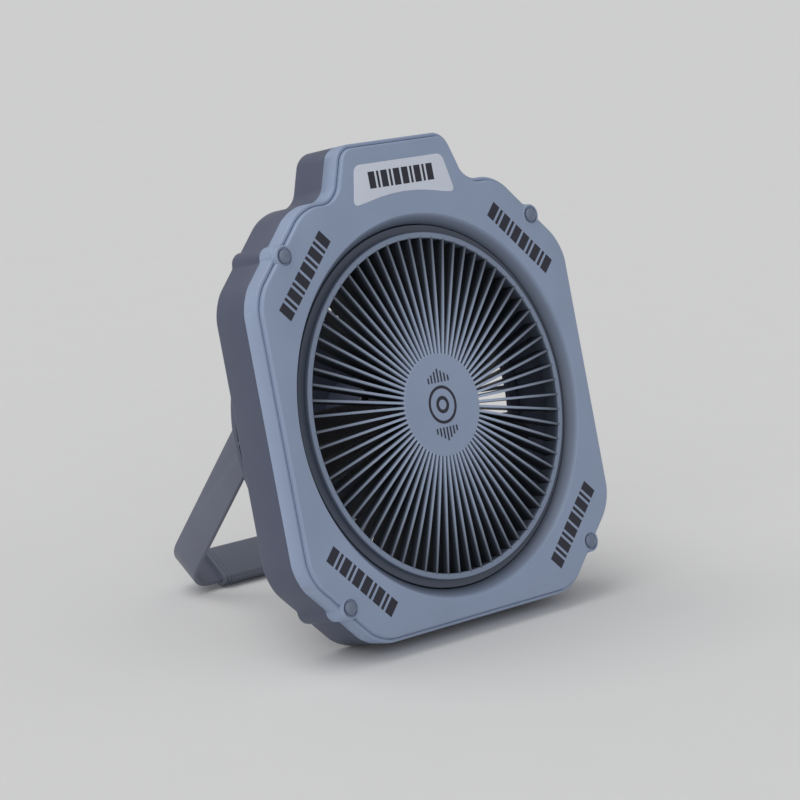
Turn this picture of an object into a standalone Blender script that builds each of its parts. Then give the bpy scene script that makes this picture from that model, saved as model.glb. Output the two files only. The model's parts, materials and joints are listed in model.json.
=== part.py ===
"""Rechargeable table fan: a two-shell body with a twist-off front grille and a folding strap stand.

Everything except the stand is modelled in the fan frame: X to the right, Y back along the air flow,
Z up the face, with the origin on the fan's axis in the plane of the grille rim. That frame leans back
over the floor at Z = 0. Metres and degrees throughout.
"""
import math

import bmesh
import bpy
from mathutils import Matrix, Vector

# ---- Clearances -------------------------------------------------------------------------------
GAP = 0.0003                  # between two pieces that touch
RUNNING_GAP = 0.0008          # between the grille and the rim of its opening
PAST = 0.0020                 # how far a cut runs on past the surface it opens

# ---- Body outline, seen from the front ---------------------------------------------------------
HALF_WIDTH = 0.1285           # side of the body to the fan's axis
BOTTOM = 0.1285               # fan's axis to the underside
SHOULDER = 0.1298             # fan's axis to the shoulders beside the hump
TOP = 0.1605                  # fan's axis to the top of the hump
CHAMFER = 0.1487              # fan's axis to the 45 degree corner flats
HUMP_TOP_HALF = 0.0433        # half width of the hump at its top
HUMP_FOOT_HALF = 0.0551       # half width of the hump at the shoulders
CORNER_RADIUS = 0.028
HUMP_RADIUS = 0.012
HUMP_FOOT_RADIUS = 0.013
PILLAR_PLACE = 0.102          # corner screw to the fan's axis, across and up
PILLAR_RADIUS = 0.0072
BOSS_RADIUS = 0.0054           # screw bosses inside the pillars

# ---- Depths along the fan's axis ---------------------------------------------------------------
FACE_RISE = 0.0028            # face in front of the grille rim
FACE_STEP = 0.0020            # face outline inside the band outline
FACE_BEVEL = 0.0009
BAND_BEVEL = 0.0008
PARTING = 0.0106              # back edge of the front shell
BODY_BACK = 0.0370            # back face of the rear shell
BACK_ROUND = 0.0020
SHELL_WALL = 0.0025

# ---- Grille and its opening --------------------------------------------------------------------
GRILLE_RADIUS = 0.1000        # inside the grille rim
RIM_WIDTH = 0.0035
RIM_HEIGHT = 0.0036           # rim in front of the ledge around it
LEDGE_WIDTH = 0.0047
LEDGE_THICKNESS = 0.0022
CONE_RISE = 0.0055            # widening of the opening from its lip to the face
LIP_DEPTH = 0.0024
RIB_COUNT = 68
RIB_WIDTH = 0.0015
VANE_DEPTH = 0.0100
DOME = 0.0023                 # how far the rib edges bow forward at the axis
HUB_RADIUS = 0.03065
HUB_BORE = 0.0080
BADGE_THICKNESS = 0.0014
TAB_COUNT = 4
TAB_ANGLE = 9.0               # half angle covered by one bayonet tab
TAB_REACH = 0.0032
TAB_THICKNESS = 0.0018
TWIST_ANGLE = 24.0            # from locked to the notches

# ---- Rear guard --------------------------------------------------------------------------------
DUCT_RADIUS = 0.1030
DUCT_WALL = 0.0024
DUCT_FRONT = 0.0130
GUARD_RADIUS = 0.0980
GUARD_BACK = 0.0784
GUARD_WALL = 0.0024
GUARD_BARS = 36
GUARD_BAR_WIDTH = 0.0022
FLANGE_RADIUS = 0.1090
FLANGE_THICKNESS = 0.0020
FLANGE_SCREW_PLACE = 0.0745   # across and up from the axis
GUARD_BOSS_RADIUS = 0.0036
GUARD_BOSS_LENGTH = 0.0130    # bosses for the flange screws, back to the back of the body
GUARD_HOLE_LENGTH = 0.0095
COVER_DISC_RADIUS = 0.0620    # solid disc over the motor
POD_RADIUS = 0.0240           # motor pod, outside
POD_WALL = 0.0050
POD_FRONT = 0.0465

# ---- Motor and impeller ------------------------------------------------------------------------
SHAFT_RADIUS = 0.0016
BUSH_RADIUS = 0.0040
CAN_RADIUS = 0.0180
CAN_WALL = 0.0012
CAN_BACK = 0.0730
END_CAP_THICKNESS = 0.0022
MAGNET_THICKNESS = 0.0030
ARMATURE_RADIUS = 0.0128
ARMATURE_FRONT = 0.0515
ARMATURE_LENGTH = 0.0145
COMMUTATOR_RADIUS = 0.0042
COMMUTATOR_LENGTH = 0.0045
PLATE_THICKNESS = 0.0020
IMPELLER_FRONT = 0.0145
IMPELLER_HUB_RADIUS = 0.0230
IMPELLER_HUB_LENGTH = 0.0240
IMPELLER_TIP_RADIUS = 0.0965
IMPELLER_WALL = 0.0020
BLADE_COUNT = 5
BLADE_THICKNESS = 0.0018
BLADE_MIDDLE = 0.0250
ROOT_CHORD = 0.0240
TIP_CHORD = 0.0440
ROOT_PITCH = 46.0
TIP_PITCH = 24.0
BLADE_SWEEP = 10.0
NUT_RADIUS = 0.0055
NUT_THICKNESS = 0.0026

# ---- Battery and controls in the hump ----------------------------------------------------------
CELL_RADIUS = 0.0092
CELL_LENGTH = 0.0650
CELL_DEPTH = 0.0200           # cell axes behind the rim plane
LOWER_CELL = 0.1262           # its axis above the fan's axis
TRAY_WALL = 0.0012
TRAY_ROOM = 0.0004            # cells to the tray's front wall
TRAY_HEIGHTS = (0.1172, 0.1530)
BOARD_STANDOFF = 0.0041       # front of the board to the inside of the back wall
BOARD_THICKNESS = 0.0012
BOARD_HALF_WIDTH = 0.0310
BOARD_SCREW_PLACE = 0.0284
BOARD_BOSS_RADIUS = 0.0026
BOARD_HOLE_DEPTH = 0.0007     # screw holes into the back wall
BOARD_HEIGHTS = (0.1165, 0.1520)
SWITCH_HEIGHT = 0.0007
BUTTON_PLACES = {"power_button": (-0.0185, 0.1400), "speed_up_button": (0.0185, 0.1463),
                 "speed_down_button": (0.0185, 0.1337)}
BUTTON_RADIUS = 0.0042
BUTTON_FLANGE = 0.0010
BUTTON_PROUD = 0.0010
LENS_PLACE = (0.0, 0.1450)
LENS_HALF_LENGTH = 0.0065
LENS_RADIUS = 0.0011
PORT_HEIGHT = 0.1240
PORT_HALF_WIDTH = 0.0047
PORT_RADIUS = 0.0017
PORT_LENGTH = 0.0042
COVER_HALF_WIDTH = 0.0080
COVER_HALF_HEIGHT = 0.0042
COVER_THICKNESS = 0.0010
COVER_RECESS = 0.0011

# ---- Name plate --------------------------------------------------------------------------------
NAME_PLATE_TOP = 0.1475
NAME_PLATE_TOP_HALF = 0.0362
NAME_PLATE_FOOT_HALF = 0.0420
NAME_PLATE_FOOT = 0.1230
NAME_PLATE_ARCH = 0.0045      # rise of the lower edge at its middle
NAME_PLATE_THICKNESS = 0.0010
NAME_PLATE_RECESS = 0.0011

# ---- Stand -------------------------------------------------------------------------------------
LEAN = 15.19                  # body leans back from upright
STRAP_CLEARANCE = 0.0021      # back of the guard to the upright strap
ARM_PLACE = 0.0755            # middle of each arm to the fan's axis
STRAP_WIDTH = 0.0230
STRAP_THICKNESS = 0.0030
STRAP_BEND = 0.0200
ARM_LENGTH = 0.1186           # pivot to the middle of the crossbar
GRIP_WIDTH = 0.0268
GRIP_THICKNESS = 0.0090
GRIP_HALF_LENGTH = 0.0470
GRIP_BEVEL = 0.0012
GRIP_GROOVES = (0.0412, 0.0442)
GRIP_GROOVE = 0.0008
LUG_THICKNESS = 0.0060
LUG_RADIUS = 0.0090
WASHER_THICKNESS = 0.0010
PIVOT_SCREW_RADIUS = 0.0024
PIVOT_HEAD_RADIUS = 0.0062
PIVOT_HEAD_HEIGHT = 0.0028

# ---- Screws, caps and feet ---------------------------------------------------------------------
SCREW_RADIUS = 0.0015
SCREW_HEAD_RADIUS = 0.0028
SCREW_HEAD_HEIGHT = 0.0017
SMALL_SCREW_RADIUS = 0.0013
SMALL_SCREW_HEAD_RADIUS = 0.0023
CAP_RADIUS = 0.0042
CAP_POCKET_RADIUS = 0.0053
CAP_RIM_RADIUS = 0.0063       # raised ring round each cap's pocket
CAP_RIM_PROUD = 0.0002
POCKET_FLOOR = -0.0020
FOOT_HALF_LENGTH = 0.0140
FOOT_PLACE = 0.0520
FOOT_PROUD = 0.0005
FOOT_POCKET = 0.0010
CORNER_HOLE_BACK = 0.0280     # blind end of each corner screw's hole
CORNER_SCREW_LENGTH = 0.0240
GUARD_SCREW_LENGTH = 0.0105
BOARD_SCREW_LENGTH = 0.0042
MOTOR_SCREW_LENGTH = 0.0046
PLATE_SCREW_LENGTH = 0.0090
MOTOR_SCREW_PLACE = 0.0105
PIVOT_NUT_RADIUS = 0.0050
PIVOT_NUT_HEIGHT = 0.0030
FOOT_INSET = 0.0030           # foot to the back of the body
FOOT_WIDTH = 0.0105

# ---- Values worked out from those above --------------------------------------------------------
RIM_RADIUS = GRILLE_RADIUS + RIM_WIDTH
LEDGE_RADIUS = RIM_RADIUS + LEDGE_WIDTH
LIP_RADIUS = LEDGE_RADIUS + RUNNING_GAP
CONE_RADIUS = LIP_RADIUS + CONE_RISE
LIP_FRONT = RIM_HEIGHT + 0.0004
LIP_BACK = LIP_FRONT + LIP_DEPTH
TAB_FRONT = LIP_BACK + GAP
TAB_RADIUS = LEDGE_RADIUS + TAB_REACH
TRACK_RADIUS = TAB_RADIUS + RUNNING_GAP
COLLAR_RADIUS = TRACK_RADIUS + SHELL_WALL
COLLAR_BACK = TAB_FRONT + TAB_THICKNESS + 0.0010
REAR_FRONT = PARTING + GAP
REAR_FLOOR = BODY_BACK - SHELL_WALL
FLANGE_FRONT = BODY_BACK + GAP
FLANGE_BACK = FLANGE_FRONT + FLANGE_THICKNESS
CELL_HEIGHTS = (LOWER_CELL, LOWER_CELL + 2 * CELL_RADIUS + 2 * GAP)
TRAY_FRONT = CELL_DEPTH - CELL_RADIUS - TRAY_ROOM - TRAY_WALL
BOARD_FRONT = REAR_FLOOR - BOARD_STANDOFF
PIVOT_BACK = GUARD_BACK + STRAP_WIDTH / 2 + STRAP_CLEARANCE
BORE = SHAFT_RADIUS + GAP
CAN_FRONT = POD_FRONT
PLATE_FRONT = POD_FRONT - GAP - PLATE_THICKNESS
FOOT_BOTTOM = BOTTOM + FOOT_PROUD
FOOT_DEPTHS = (BODY_BACK - FOOT_INSET - FOOT_WIDTH, BODY_BACK - FOOT_INSET)
LEAN_ANGLE = math.radians(LEAN)
AXIS_HEIGHT = FOOT_BOTTOM * math.cos(LEAN_ANGLE) + FOOT_DEPTHS[1] * math.sin(LEAN_ANGLE)
PIVOT_HEIGHT = AXIS_HEIGHT - PIVOT_BACK * math.sin(LEAN_ANGLE)
GRIP_CORNER = (ARM_LENGTH + GRIP_THICKNESS / 2, GRIP_WIDTH / 2 - GRIP_BEVEL)
ARM_ANGLE = (math.acos(PIVOT_HEIGHT / math.hypot(*GRIP_CORNER))
             + math.atan2(GRIP_CORNER[1], GRIP_CORNER[0]))
STAND_REACH = ((ARM_LENGTH + GRIP_THICKNESS / 2 - GRIP_BEVEL) * math.sin(ARM_ANGLE)
               + GRIP_WIDTH / 2 * math.cos(ARM_ANGLE))
BACKMOST = PIVOT_BACK * math.cos(LEAN_ANGLE) + STAND_REACH
FRONTMOST = (-FACE_RISE * math.cos(LEAN_ANGLE)
             - (BOTTOM - FACE_STEP - FACE_BEVEL) * math.sin(LEAN_ANGLE))
ARC_STEP = math.radians(15.0)

# ---- Sides of the polygons that stand for circles ----------------------------------------------
LARGE = 56
MEDIUM = 28
SMALL = 16
TINY = 10

# ---- Materials ---------------------------------------------------------------------------------
FINISHES = {
    "bezel_plastic": ((0.22, 0.27, 0.35), 0.50, 0.0),
    "housing_plastic": ((0.14, 0.155, 0.19), 0.55, 0.0),
    "plate_plastic": ((0.58, 0.61, 0.68), 0.40, 0.0),
    "impeller_plastic": ((0.09, 0.09, 0.10), 0.45, 0.0),
    "stand_metal": ((0.15, 0.165, 0.20), 0.45, 0.0),
    "grip_rubber": ((0.10, 0.11, 0.13), 0.80, 0.0),
    "steel": ((0.55, 0.55, 0.56), 0.30, 1.0),
    "bronze": ((0.60, 0.42, 0.20), 0.35, 1.0),
    "motor_metal": ((0.42, 0.43, 0.44), 0.35, 1.0),
    "magnet": ((0.08, 0.08, 0.085), 0.55, 0.0),
    "copper": ((0.72, 0.38, 0.20), 0.35, 1.0),
    "board_green": ((0.05, 0.20, 0.10), 0.50, 0.0),
    "cell_wrap": ((0.10, 0.22, 0.42), 0.35, 0.0),
    "tray_plastic": ((0.06, 0.06, 0.065), 0.60, 0.0),
    "lens_plastic": ((0.75, 0.78, 0.80), 0.20, 0.0),
}


def clear_scene():
    for old in list(bpy.data.objects):
        bpy.data.objects.remove(old, do_unlink=True)


def material(name):
    found = bpy.data.materials.get(name)
    if found:
        return found
    colour, roughness, metallic = FINISHES[name]
    made = bpy.data.materials.new(name)
    made.use_nodes = True
    shader = made.node_tree.nodes["Principled BSDF"]
    shader.inputs["Base Color"].default_value = (*colour, 1.0)
    shader.inputs["Roughness"].default_value = roughness
    shader.inputs["Metallic"].default_value = metallic
    made.diffuse_color = (*colour, 1.0)
    return made


def empty(name, parent=None, location=(0, 0, 0), turn_x=0.0):
    made = bpy.data.objects.new(name, None)
    bpy.context.scene.collection.objects.link(made)
    made.parent = parent
    made.location = location
    made.rotation_euler = (turn_x, 0, 0)
    return made


def make_object(name, bm, finish=None, parent=None, location=(0, 0, 0), smooth_angle=30.0):
    """Turn a bmesh into an object. With no finish it is a cutter, which isn't rendered."""
    bmesh.ops.recalc_face_normals(bm, faces=bm.faces)
    for edge in bm.edges:
        if len(edge.link_faces) == 2:
            edge.smooth = edge.calc_face_angle() < math.radians(smooth_angle)
    for face in bm.faces:
        face.smooth = True
    mesh = bpy.data.meshes.new(name)
    bm.to_mesh(mesh)
    bm.free()
    made = bpy.data.objects.new(name, mesh)
    bpy.context.scene.collection.objects.link(made)
    made.parent = parent
    made.location = location
    if finish:
        mesh.materials.append(material(finish))
    else:
        made.hide_render = True
        made.display_type = "WIRE"
    return made


def boolean(target, other, operation):
    modifier = target.modifiers.new(other.name, "BOOLEAN")
    modifier.operation = operation
    modifier.object = other
    modifier.solver = "EXACT"


# ---- Outlines: lists of (x, z) points, counter-clockwise from the front -------------------------
def round_corners(corners):
    """Points of a polygon whose corners are (x, z, radius). A zero radius keeps the corner."""
    points = []
    count = len(corners)
    for index, (x, z, radius) in enumerate(corners):
        here = Vector((x, z))
        if radius == 0:
            points.append((x, z))
            continue
        before = (Vector(corners[index - 1][:2]) - here).normalized()
        after = (Vector(corners[(index + 1) % count][:2]) - here).normalized()
        opening = before.angle(after)
        turn = math.pi - opening
        centre = here + (before + after).normalized() * (radius / math.sin(opening / 2))
        start = here + before * (radius / math.tan(opening / 2)) - centre
        side = 1 if before.x * after.y - before.y * after.x < 0 else -1
        steps = max(2, math.ceil(turn / ARC_STEP))
        for step in range(steps + 1):
            point = centre + Matrix.Rotation(side * turn * step / steps, 2) @ start
            points.append((point.x, point.y))
    return points


def grow(points, distance):
    """Move every edge of a counter-clockwise outline outwards by distance."""
    grown = []
    count = len(points)
    for index in range(count):
        here = Vector(points[index])
        back = here - Vector(points[index - 1])
        ahead = Vector(points[(index + 1) % count]) - here
        first = Vector((back.y, -back.x)).normalized()
        second = Vector((ahead.y, -ahead.x)).normalized()
        moved = here + (first + second) * (distance / (1 + first.dot(second)))
        grown.append((moved.x, moved.y))
    return grown


def pillar_bump(across, up):
    """The arc of a corner pillar that stands out beyond the body's 45 degree flat."""
    height = CHAMFER - PILLAR_PLACE * math.sqrt(2)
    spread = math.acos(height / PILLAR_RADIUS)
    middle = math.atan2(up, across)
    steps = max(2, math.ceil(2 * spread / math.radians(26)))
    arc = []
    for step in range(steps + 1):
        angle = middle - spread + 2 * spread * step / steps
        arc.append((across * PILLAR_PLACE + PILLAR_RADIUS * math.cos(angle),
                    up * PILLAR_PLACE + PILLAR_RADIUS * math.sin(angle), 0))
    return arc


def body_outline():
    flat = CHAMFER * math.sqrt(2)
    corners = [(flat - BOTTOM, -BOTTOM, CORNER_RADIUS)] + pillar_bump(1, -1)
    corners += [(HALF_WIDTH, HALF_WIDTH - flat, CORNER_RADIUS)]
    corners += [(HALF_WIDTH, flat - HALF_WIDTH, CORNER_RADIUS)] + pillar_bump(1, 1)
    corners += [(flat - SHOULDER, SHOULDER, CORNER_RADIUS)]
    corners += [(HUMP_FOOT_HALF, SHOULDER, HUMP_FOOT_RADIUS), (HUMP_TOP_HALF, TOP, HUMP_RADIUS)]
    mirrored = [(-x, z, radius) for x, z, radius in reversed(corners)]
    return round_corners(corners + mirrored)


def name_plate_outline():
    corners = [(NAME_PLATE_FOOT_HALF, NAME_PLATE_FOOT, 0.0055),
               (NAME_PLATE_TOP_HALF, NAME_PLATE_TOP, 0.0045),
               (-NAME_PLATE_TOP_HALF, NAME_PLATE_TOP, 0.0045),
               (-NAME_PLATE_FOOT_HALF, NAME_PLATE_FOOT, 0.0055)]
    steps = 6
    for step in range(1, steps):
        share = step / steps
        corners.append((NAME_PLATE_FOOT_HALF * 0.86 * (2 * share - 1),
                        NAME_PLATE_FOOT + NAME_PLATE_ARCH * math.sin(math.pi * share) ** 0.8, 0))
    return round_corners(corners)


def stadium(half_width, radius, centre=(0.0, 0.0), steps=6):
    points = []
    for side, start in ((1, -math.pi / 2), (-1, math.pi / 2)):
        for step in range(steps + 1):
            angle = start + math.pi * step / steps
            points.append((centre[0] + side * (half_width - radius) + radius * math.cos(angle),
                           centre[1] + radius * math.sin(angle)))
    return points


def circle(radius, centre=(0.0, 0.0), segments=SMALL):
    turns = [2 * math.pi * step / segments for step in range(segments)]
    return [(centre[0] + radius * math.cos(a), centre[1] + radius * math.sin(a)) for a in turns]


def rectangle(left, right, low, high):
    return [(left, low), (right, low), (right, high), (left, high)]


# ---- Solids ------------------------------------------------------------------------------------
def loft(rings, closed=False):
    """A solid through rings of equal length, capped at both ends unless the rings close on themselves."""
    bm = bmesh.new()
    made = [[bm.verts.new(point) for point in ring] for ring in rings]
    pairs = list(zip(made, made[1:]))
    if closed:
        pairs.append((made[-1], made[0]))
    count = len(made[0])
    for first, second in pairs:
        for index in range(count):
            after = (index + 1) % count
            bm.faces.new((first[index], first[after], second[after], second[index]))
    if not closed:
        bm.faces.new(made[0])
        bm.faces.new(made[-1])
    return bm


def shell(outline, levels):
    """Loft an outline through (inset, depth) levels along the fan's axis."""
    return loft([[(x, depth, z) for x, z in grow(outline, -inset)] for inset, depth in levels])


def prism(outline, front, back):
    return shell(outline, ((0, front), (0, back)))


def lathe(profile, segments=SMALL, centre=(0.0, 0.0)):
    """Turn (radius, depth) points about the fan's axis. Points at radius 0 close the ends."""
    bm = bmesh.new()
    rings = []
    for radius, depth in profile:
        if radius == 0:
            rings.append([bm.verts.new((centre[0], depth, centre[1]))])
            continue
        rings.append([bm.verts.new((x, depth, z)) for x, z in circle(radius, centre, segments)])
    pairs = list(zip(rings, rings[1:]))
    if profile[0][0] > 0:
        pairs.append((rings[-1], rings[0]))
    for first, second in pairs:
        for index in range(segments):
            after = (index + 1) % segments
            if len(first) == 1:
                bm.faces.new((first[0], second[index], second[after]))
            elif len(second) == 1:
                bm.faces.new((first[index], first[after], second[0]))
            else:
                bm.faces.new((first[index], first[after], second[after], second[index]))
    return bm


def ring_profile(inner, outer, front, back):
    return ((inner, front), (outer, front), (outer, back), (inner, back))


def join(parts):
    """Merge several bmeshes that don't touch into one."""
    whole = bmesh.new()
    for part in parts:
        mesh = bpy.data.meshes.new("join")
        part.to_mesh(mesh)
        part.free()
        whole.from_mesh(mesh)
        bpy.data.meshes.remove(mesh)
    return whole


def ribbed_shell(outer, inner, count, width, slotted):
    """A turned wall with slots that leave straight, parallel-sided ribs.

    outer and inner are matching (radius, depth) stations of the wall's two surfaces. slotted says
    for each span between stations whether only the ribs cross it.
    """
    bm = bmesh.new()

    def ring(radius, depth):
        verts = []
        for rib in range(count):
            middle = 2 * math.pi * rib / count
            spread = math.asin(width / 2 / radius)
            for angle in (middle - spread, middle + spread):
                verts.append(bm.verts.new((radius * math.cos(angle), depth, radius * math.sin(angle))))
        return verts

    outside = [ring(*station) for station in outer]
    inside = [ring(*station) for station in inner]
    spans = len(outer) - 1
    columns = 2 * count

    def present(span, column):
        if span < 0 or span >= spans:
            return False
        return not slotted[span] or column % columns % 2 == 0

    for span in range(spans):
        for column in range(columns):
            after = (column + 1) % columns
            if present(span, column):
                for surface in (outside, inside):
                    bm.faces.new((surface[span][column], surface[span][after],
                                  surface[span + 1][after], surface[span + 1][column]))
            if present(span, column) != present(span, column - 1):
                bm.faces.new((outside[span][column], outside[span + 1][column],
                              inside[span + 1][column], inside[span][column]))
    for station in range(spans + 1):
        for column in range(columns):
            after = (column + 1) % columns
            if present(station - 1, column) != present(station, column):
                bm.faces.new((outside[station][column], outside[station][after],
                              inside[station][after], inside[station][column]))
    return bm


def corner_places(place):
    return {"top_right": (place, place), "top_left": (-place, place),
            "bottom_left": (-place, -place), "bottom_right": (place, -place)}


# ---- The pieces --------------------------------------------------------------------------------
def make_front_bezel(frame):
    inner = FACE_STEP + SHELL_WALL
    levels = ((FACE_STEP + FACE_BEVEL, -FACE_RISE), (FACE_STEP, FACE_BEVEL - FACE_RISE),
              (FACE_STEP, 0), (BAND_BEVEL, 0), (0, BAND_BEVEL), (0, PARTING),
              (SHELL_WALL, PARTING), (SHELL_WALL, SHELL_WALL), (inner, SHELL_WALL - FACE_RISE))
    bezel = make_object("front_bezel", shell(body_outline(), levels), "bezel_plastic", frame)
    collar = lathe(ring_profile(GRILLE_RADIUS, COLLAR_RADIUS, -FACE_RISE / 2, COLLAR_BACK), LARGE)
    boolean(bezel, make_object("bezel_collar", collar, parent=frame), "UNION")
    boss_front = -FACE_RISE / 2
    boss_back = PARTING - GAP
    boss = ((0, boss_front), (BOSS_RADIUS, boss_front), (BOSS_RADIUS, boss_back), (0, boss_back))
    bosses = [lathe(boss, SMALL, place) for place in corner_places(PILLAR_PLACE).values()]
    boolean(bezel, make_object("bezel_bosses", join(bosses), parent=frame), "UNION")
    rim_front = -FACE_RISE - CAP_RIM_PROUD
    rim_back = SHELL_WALL / 4
    rim = ((0, rim_front), (CAP_RIM_RADIUS - CAP_RIM_PROUD, rim_front),
           (CAP_RIM_RADIUS, rim_front + CAP_RIM_PROUD * 2), (CAP_RIM_RADIUS, rim_back), (0, rim_back))
    rims = [lathe(rim, MEDIUM, place) for place in corner_places(PILLAR_PLACE).values()]
    boolean(bezel, make_object("bezel_cap_rims", join(rims), parent=frame), "UNION")
    recess = prism(grow(name_plate_outline(), GAP), -2 * FACE_RISE, NAME_PLATE_RECESS - FACE_RISE)
    boolean(bezel, make_object("bezel_plate_recess", recess, parent=frame), "DIFFERENCE")
    pockets = []
    for place in corner_places(PILLAR_PLACE).values():
        pockets.append(lathe(((0, -2 * FACE_RISE), (CAP_POCKET_RADIUS, -2 * FACE_RISE),
                              (CAP_POCKET_RADIUS, POCKET_FLOOR),
                              (SCREW_HEAD_RADIUS + GAP, POCKET_FLOOR),
                              (SCREW_HEAD_RADIUS + GAP, POCKET_FLOOR + SCREW_HEAD_HEIGHT + GAP),
                              (SCREW_RADIUS + GAP, POCKET_FLOOR + SCREW_HEAD_HEIGHT + GAP),
                              (SCREW_RADIUS + GAP, PARTING + PAST), (0, PARTING + PAST)), SMALL, place))
    boolean(bezel, make_object("bezel_pockets", join(pockets), parent=frame), "DIFFERENCE")
    slope = CONE_RISE / (LIP_FRONT + FACE_RISE)
    opening = lathe(((0, -FACE_RISE - PAST), (CONE_RADIUS + slope * PAST, -FACE_RISE - PAST),
                     (LIP_RADIUS, LIP_FRONT), (LIP_RADIUS, LIP_BACK), (TRACK_RADIUS, LIP_BACK),
                     (TRACK_RADIUS, COLLAR_BACK + PAST), (0, COLLAR_BACK + PAST)), LARGE)
    opening_object = make_object("bezel_opening", opening, parent=frame)
    notch_half = math.radians(TAB_ANGLE) + RUNNING_GAP / TAB_RADIUS
    notch_reach = TRACK_RADIUS * math.cos(math.pi / LARGE) - GAP
    notches = []
    for index in range(TAB_COUNT):
        middle = math.radians(45 + TWIST_ANGLE + 360 / TAB_COUNT * index)
        outline = []
        for reach, steps in ((notch_reach, (-1, -0.5, 0, 0.5, 1)), (GRILLE_RADIUS, (1, -1))):
            for step in steps:
                angle = middle + notch_half * step
                outline.append((reach * math.cos(angle), reach * math.sin(angle)))
        notches.append(prism(outline, LIP_FRONT - 0.0015, LIP_BACK + 0.0010))
    boolean(opening_object, make_object("bezel_notches", join(notches), parent=frame), "UNION")
    boolean(bezel, opening_object, "DIFFERENCE")


def make_name_plate(frame):
    back = NAME_PLATE_RECESS - FACE_RISE - GAP
    front = back - NAME_PLATE_THICKNESS
    plate = shell(name_plate_outline(), ((0.0003, front), (0, front + 0.0003), (0, back)))
    make_object("name_plate", plate, "plate_plastic", frame)


def make_rear_housing(frame):
    skin = GAP / 3
    levels = ((SHELL_WALL, REAR_FLOOR), (SHELL_WALL, REAR_FRONT), (skin + 0.0004, REAR_FRONT),
              (skin, REAR_FRONT + 0.0004), (skin, BODY_BACK - BACK_ROUND),
              (skin + BACK_ROUND * 0.3, BODY_BACK - BACK_ROUND * 0.3), (skin + BACK_ROUND, BODY_BACK))
    housing = make_object("rear_housing", shell(body_outline(), levels), "housing_plastic", frame)
    duct = lathe(ring_profile(DUCT_RADIUS - 0.002, DUCT_RADIUS + DUCT_WALL, DUCT_FRONT,
                              BODY_BACK - SHELL_WALL / 2), LARGE)
    boolean(housing, make_object("housing_duct", duct, parent=frame), "UNION")
    boss_back = BODY_BACK - SHELL_WALL * 0.4
    bosses = [lathe(((0, REAR_FRONT + GAP), (BOSS_RADIUS, REAR_FRONT + GAP),
                     (BOSS_RADIUS, boss_back), (0, boss_back)), SMALL, place)
              for place in corner_places(PILLAR_PLACE).values()]
    start = BODY_BACK - GUARD_BOSS_LENGTH
    bosses += [lathe(((0, start), (GUARD_BOSS_RADIUS, start), (GUARD_BOSS_RADIUS, boss_back),
                      (0, boss_back)), TINY, place)
               for place in corner_places(FLANGE_SCREW_PLACE).values()]
    start = BOARD_FRONT + BOARD_THICKNESS + GAP
    bosses += [lathe(((0, start), (BOARD_BOSS_RADIUS, start), (BOARD_BOSS_RADIUS, boss_back),
                      (0, boss_back)), TINY, place)
               for place in board_screw_places()]
    boolean(housing, make_object("housing_bosses", join(bosses), parent=frame), "UNION")
    opening = lathe(((0, DUCT_FRONT - PAST), (DUCT_RADIUS, DUCT_FRONT - PAST),
                     (DUCT_RADIUS, BODY_BACK + PAST), (0, BODY_BACK + PAST)), LARGE)
    boolean(housing, make_object("housing_opening", opening, parent=frame), "DIFFERENCE")
    edge = COVER_HALF_WIDTH + GAP
    rise = COVER_HALF_HEIGHT + GAP
    recess = prism(rectangle(-edge, edge, PORT_HEIGHT - rise, PORT_HEIGHT + rise),
                   BODY_BACK - COVER_RECESS, BODY_BACK + PAST)
    boolean(housing, make_object("housing_cover_recess", recess, parent=frame), "DIFFERENCE")
    hole = SCREW_RADIUS + GAP
    holes = [prism(circle(hole, place, TINY), PARTING - PAST, CORNER_HOLE_BACK)
             for place in corner_places(PILLAR_PLACE).values()]
    holes += [prism(circle(hole, place, TINY), BODY_BACK - GUARD_HOLE_LENGTH, BODY_BACK + PAST)
              for place in corner_places(FLANGE_SCREW_PLACE).values()]
    holes += [prism(circle(hole, place, TINY), BOARD_FRONT, REAR_FLOOR + BOARD_HOLE_DEPTH)
              for place in board_screw_places()]
    holes += [prism(circle(BUTTON_RADIUS + GAP, place, SMALL), REAR_FLOOR - PAST, BODY_BACK + PAST)
              for place in BUTTON_PLACES.values()]
    holes += [prism(stadium(LENS_HALF_LENGTH + GAP, LENS_RADIUS + GAP, LENS_PLACE),
                    REAR_FLOOR - PAST, BODY_BACK + PAST)]
    holes += [prism(stadium(PORT_HALF_WIDTH + GAP, PORT_RADIUS + GAP, (0, PORT_HEIGHT)),
                    REAR_FLOOR - PAST, BODY_BACK + PAST)]
    for side in (-1, 1):
        low, high = FOOT_DEPTHS
        middle = side * FOOT_PLACE
        pad = prism(rectangle(middle - FOOT_HALF_LENGTH - GAP, middle + FOOT_HALF_LENGTH + GAP,
                              -BOTTOM - PAST, FOOT_POCKET - BOTTOM), low - GAP, high + GAP)
        holes.append(pad)
    boolean(housing, make_object("housing_holes", join(holes), parent=frame), "DIFFERENCE")


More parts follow.
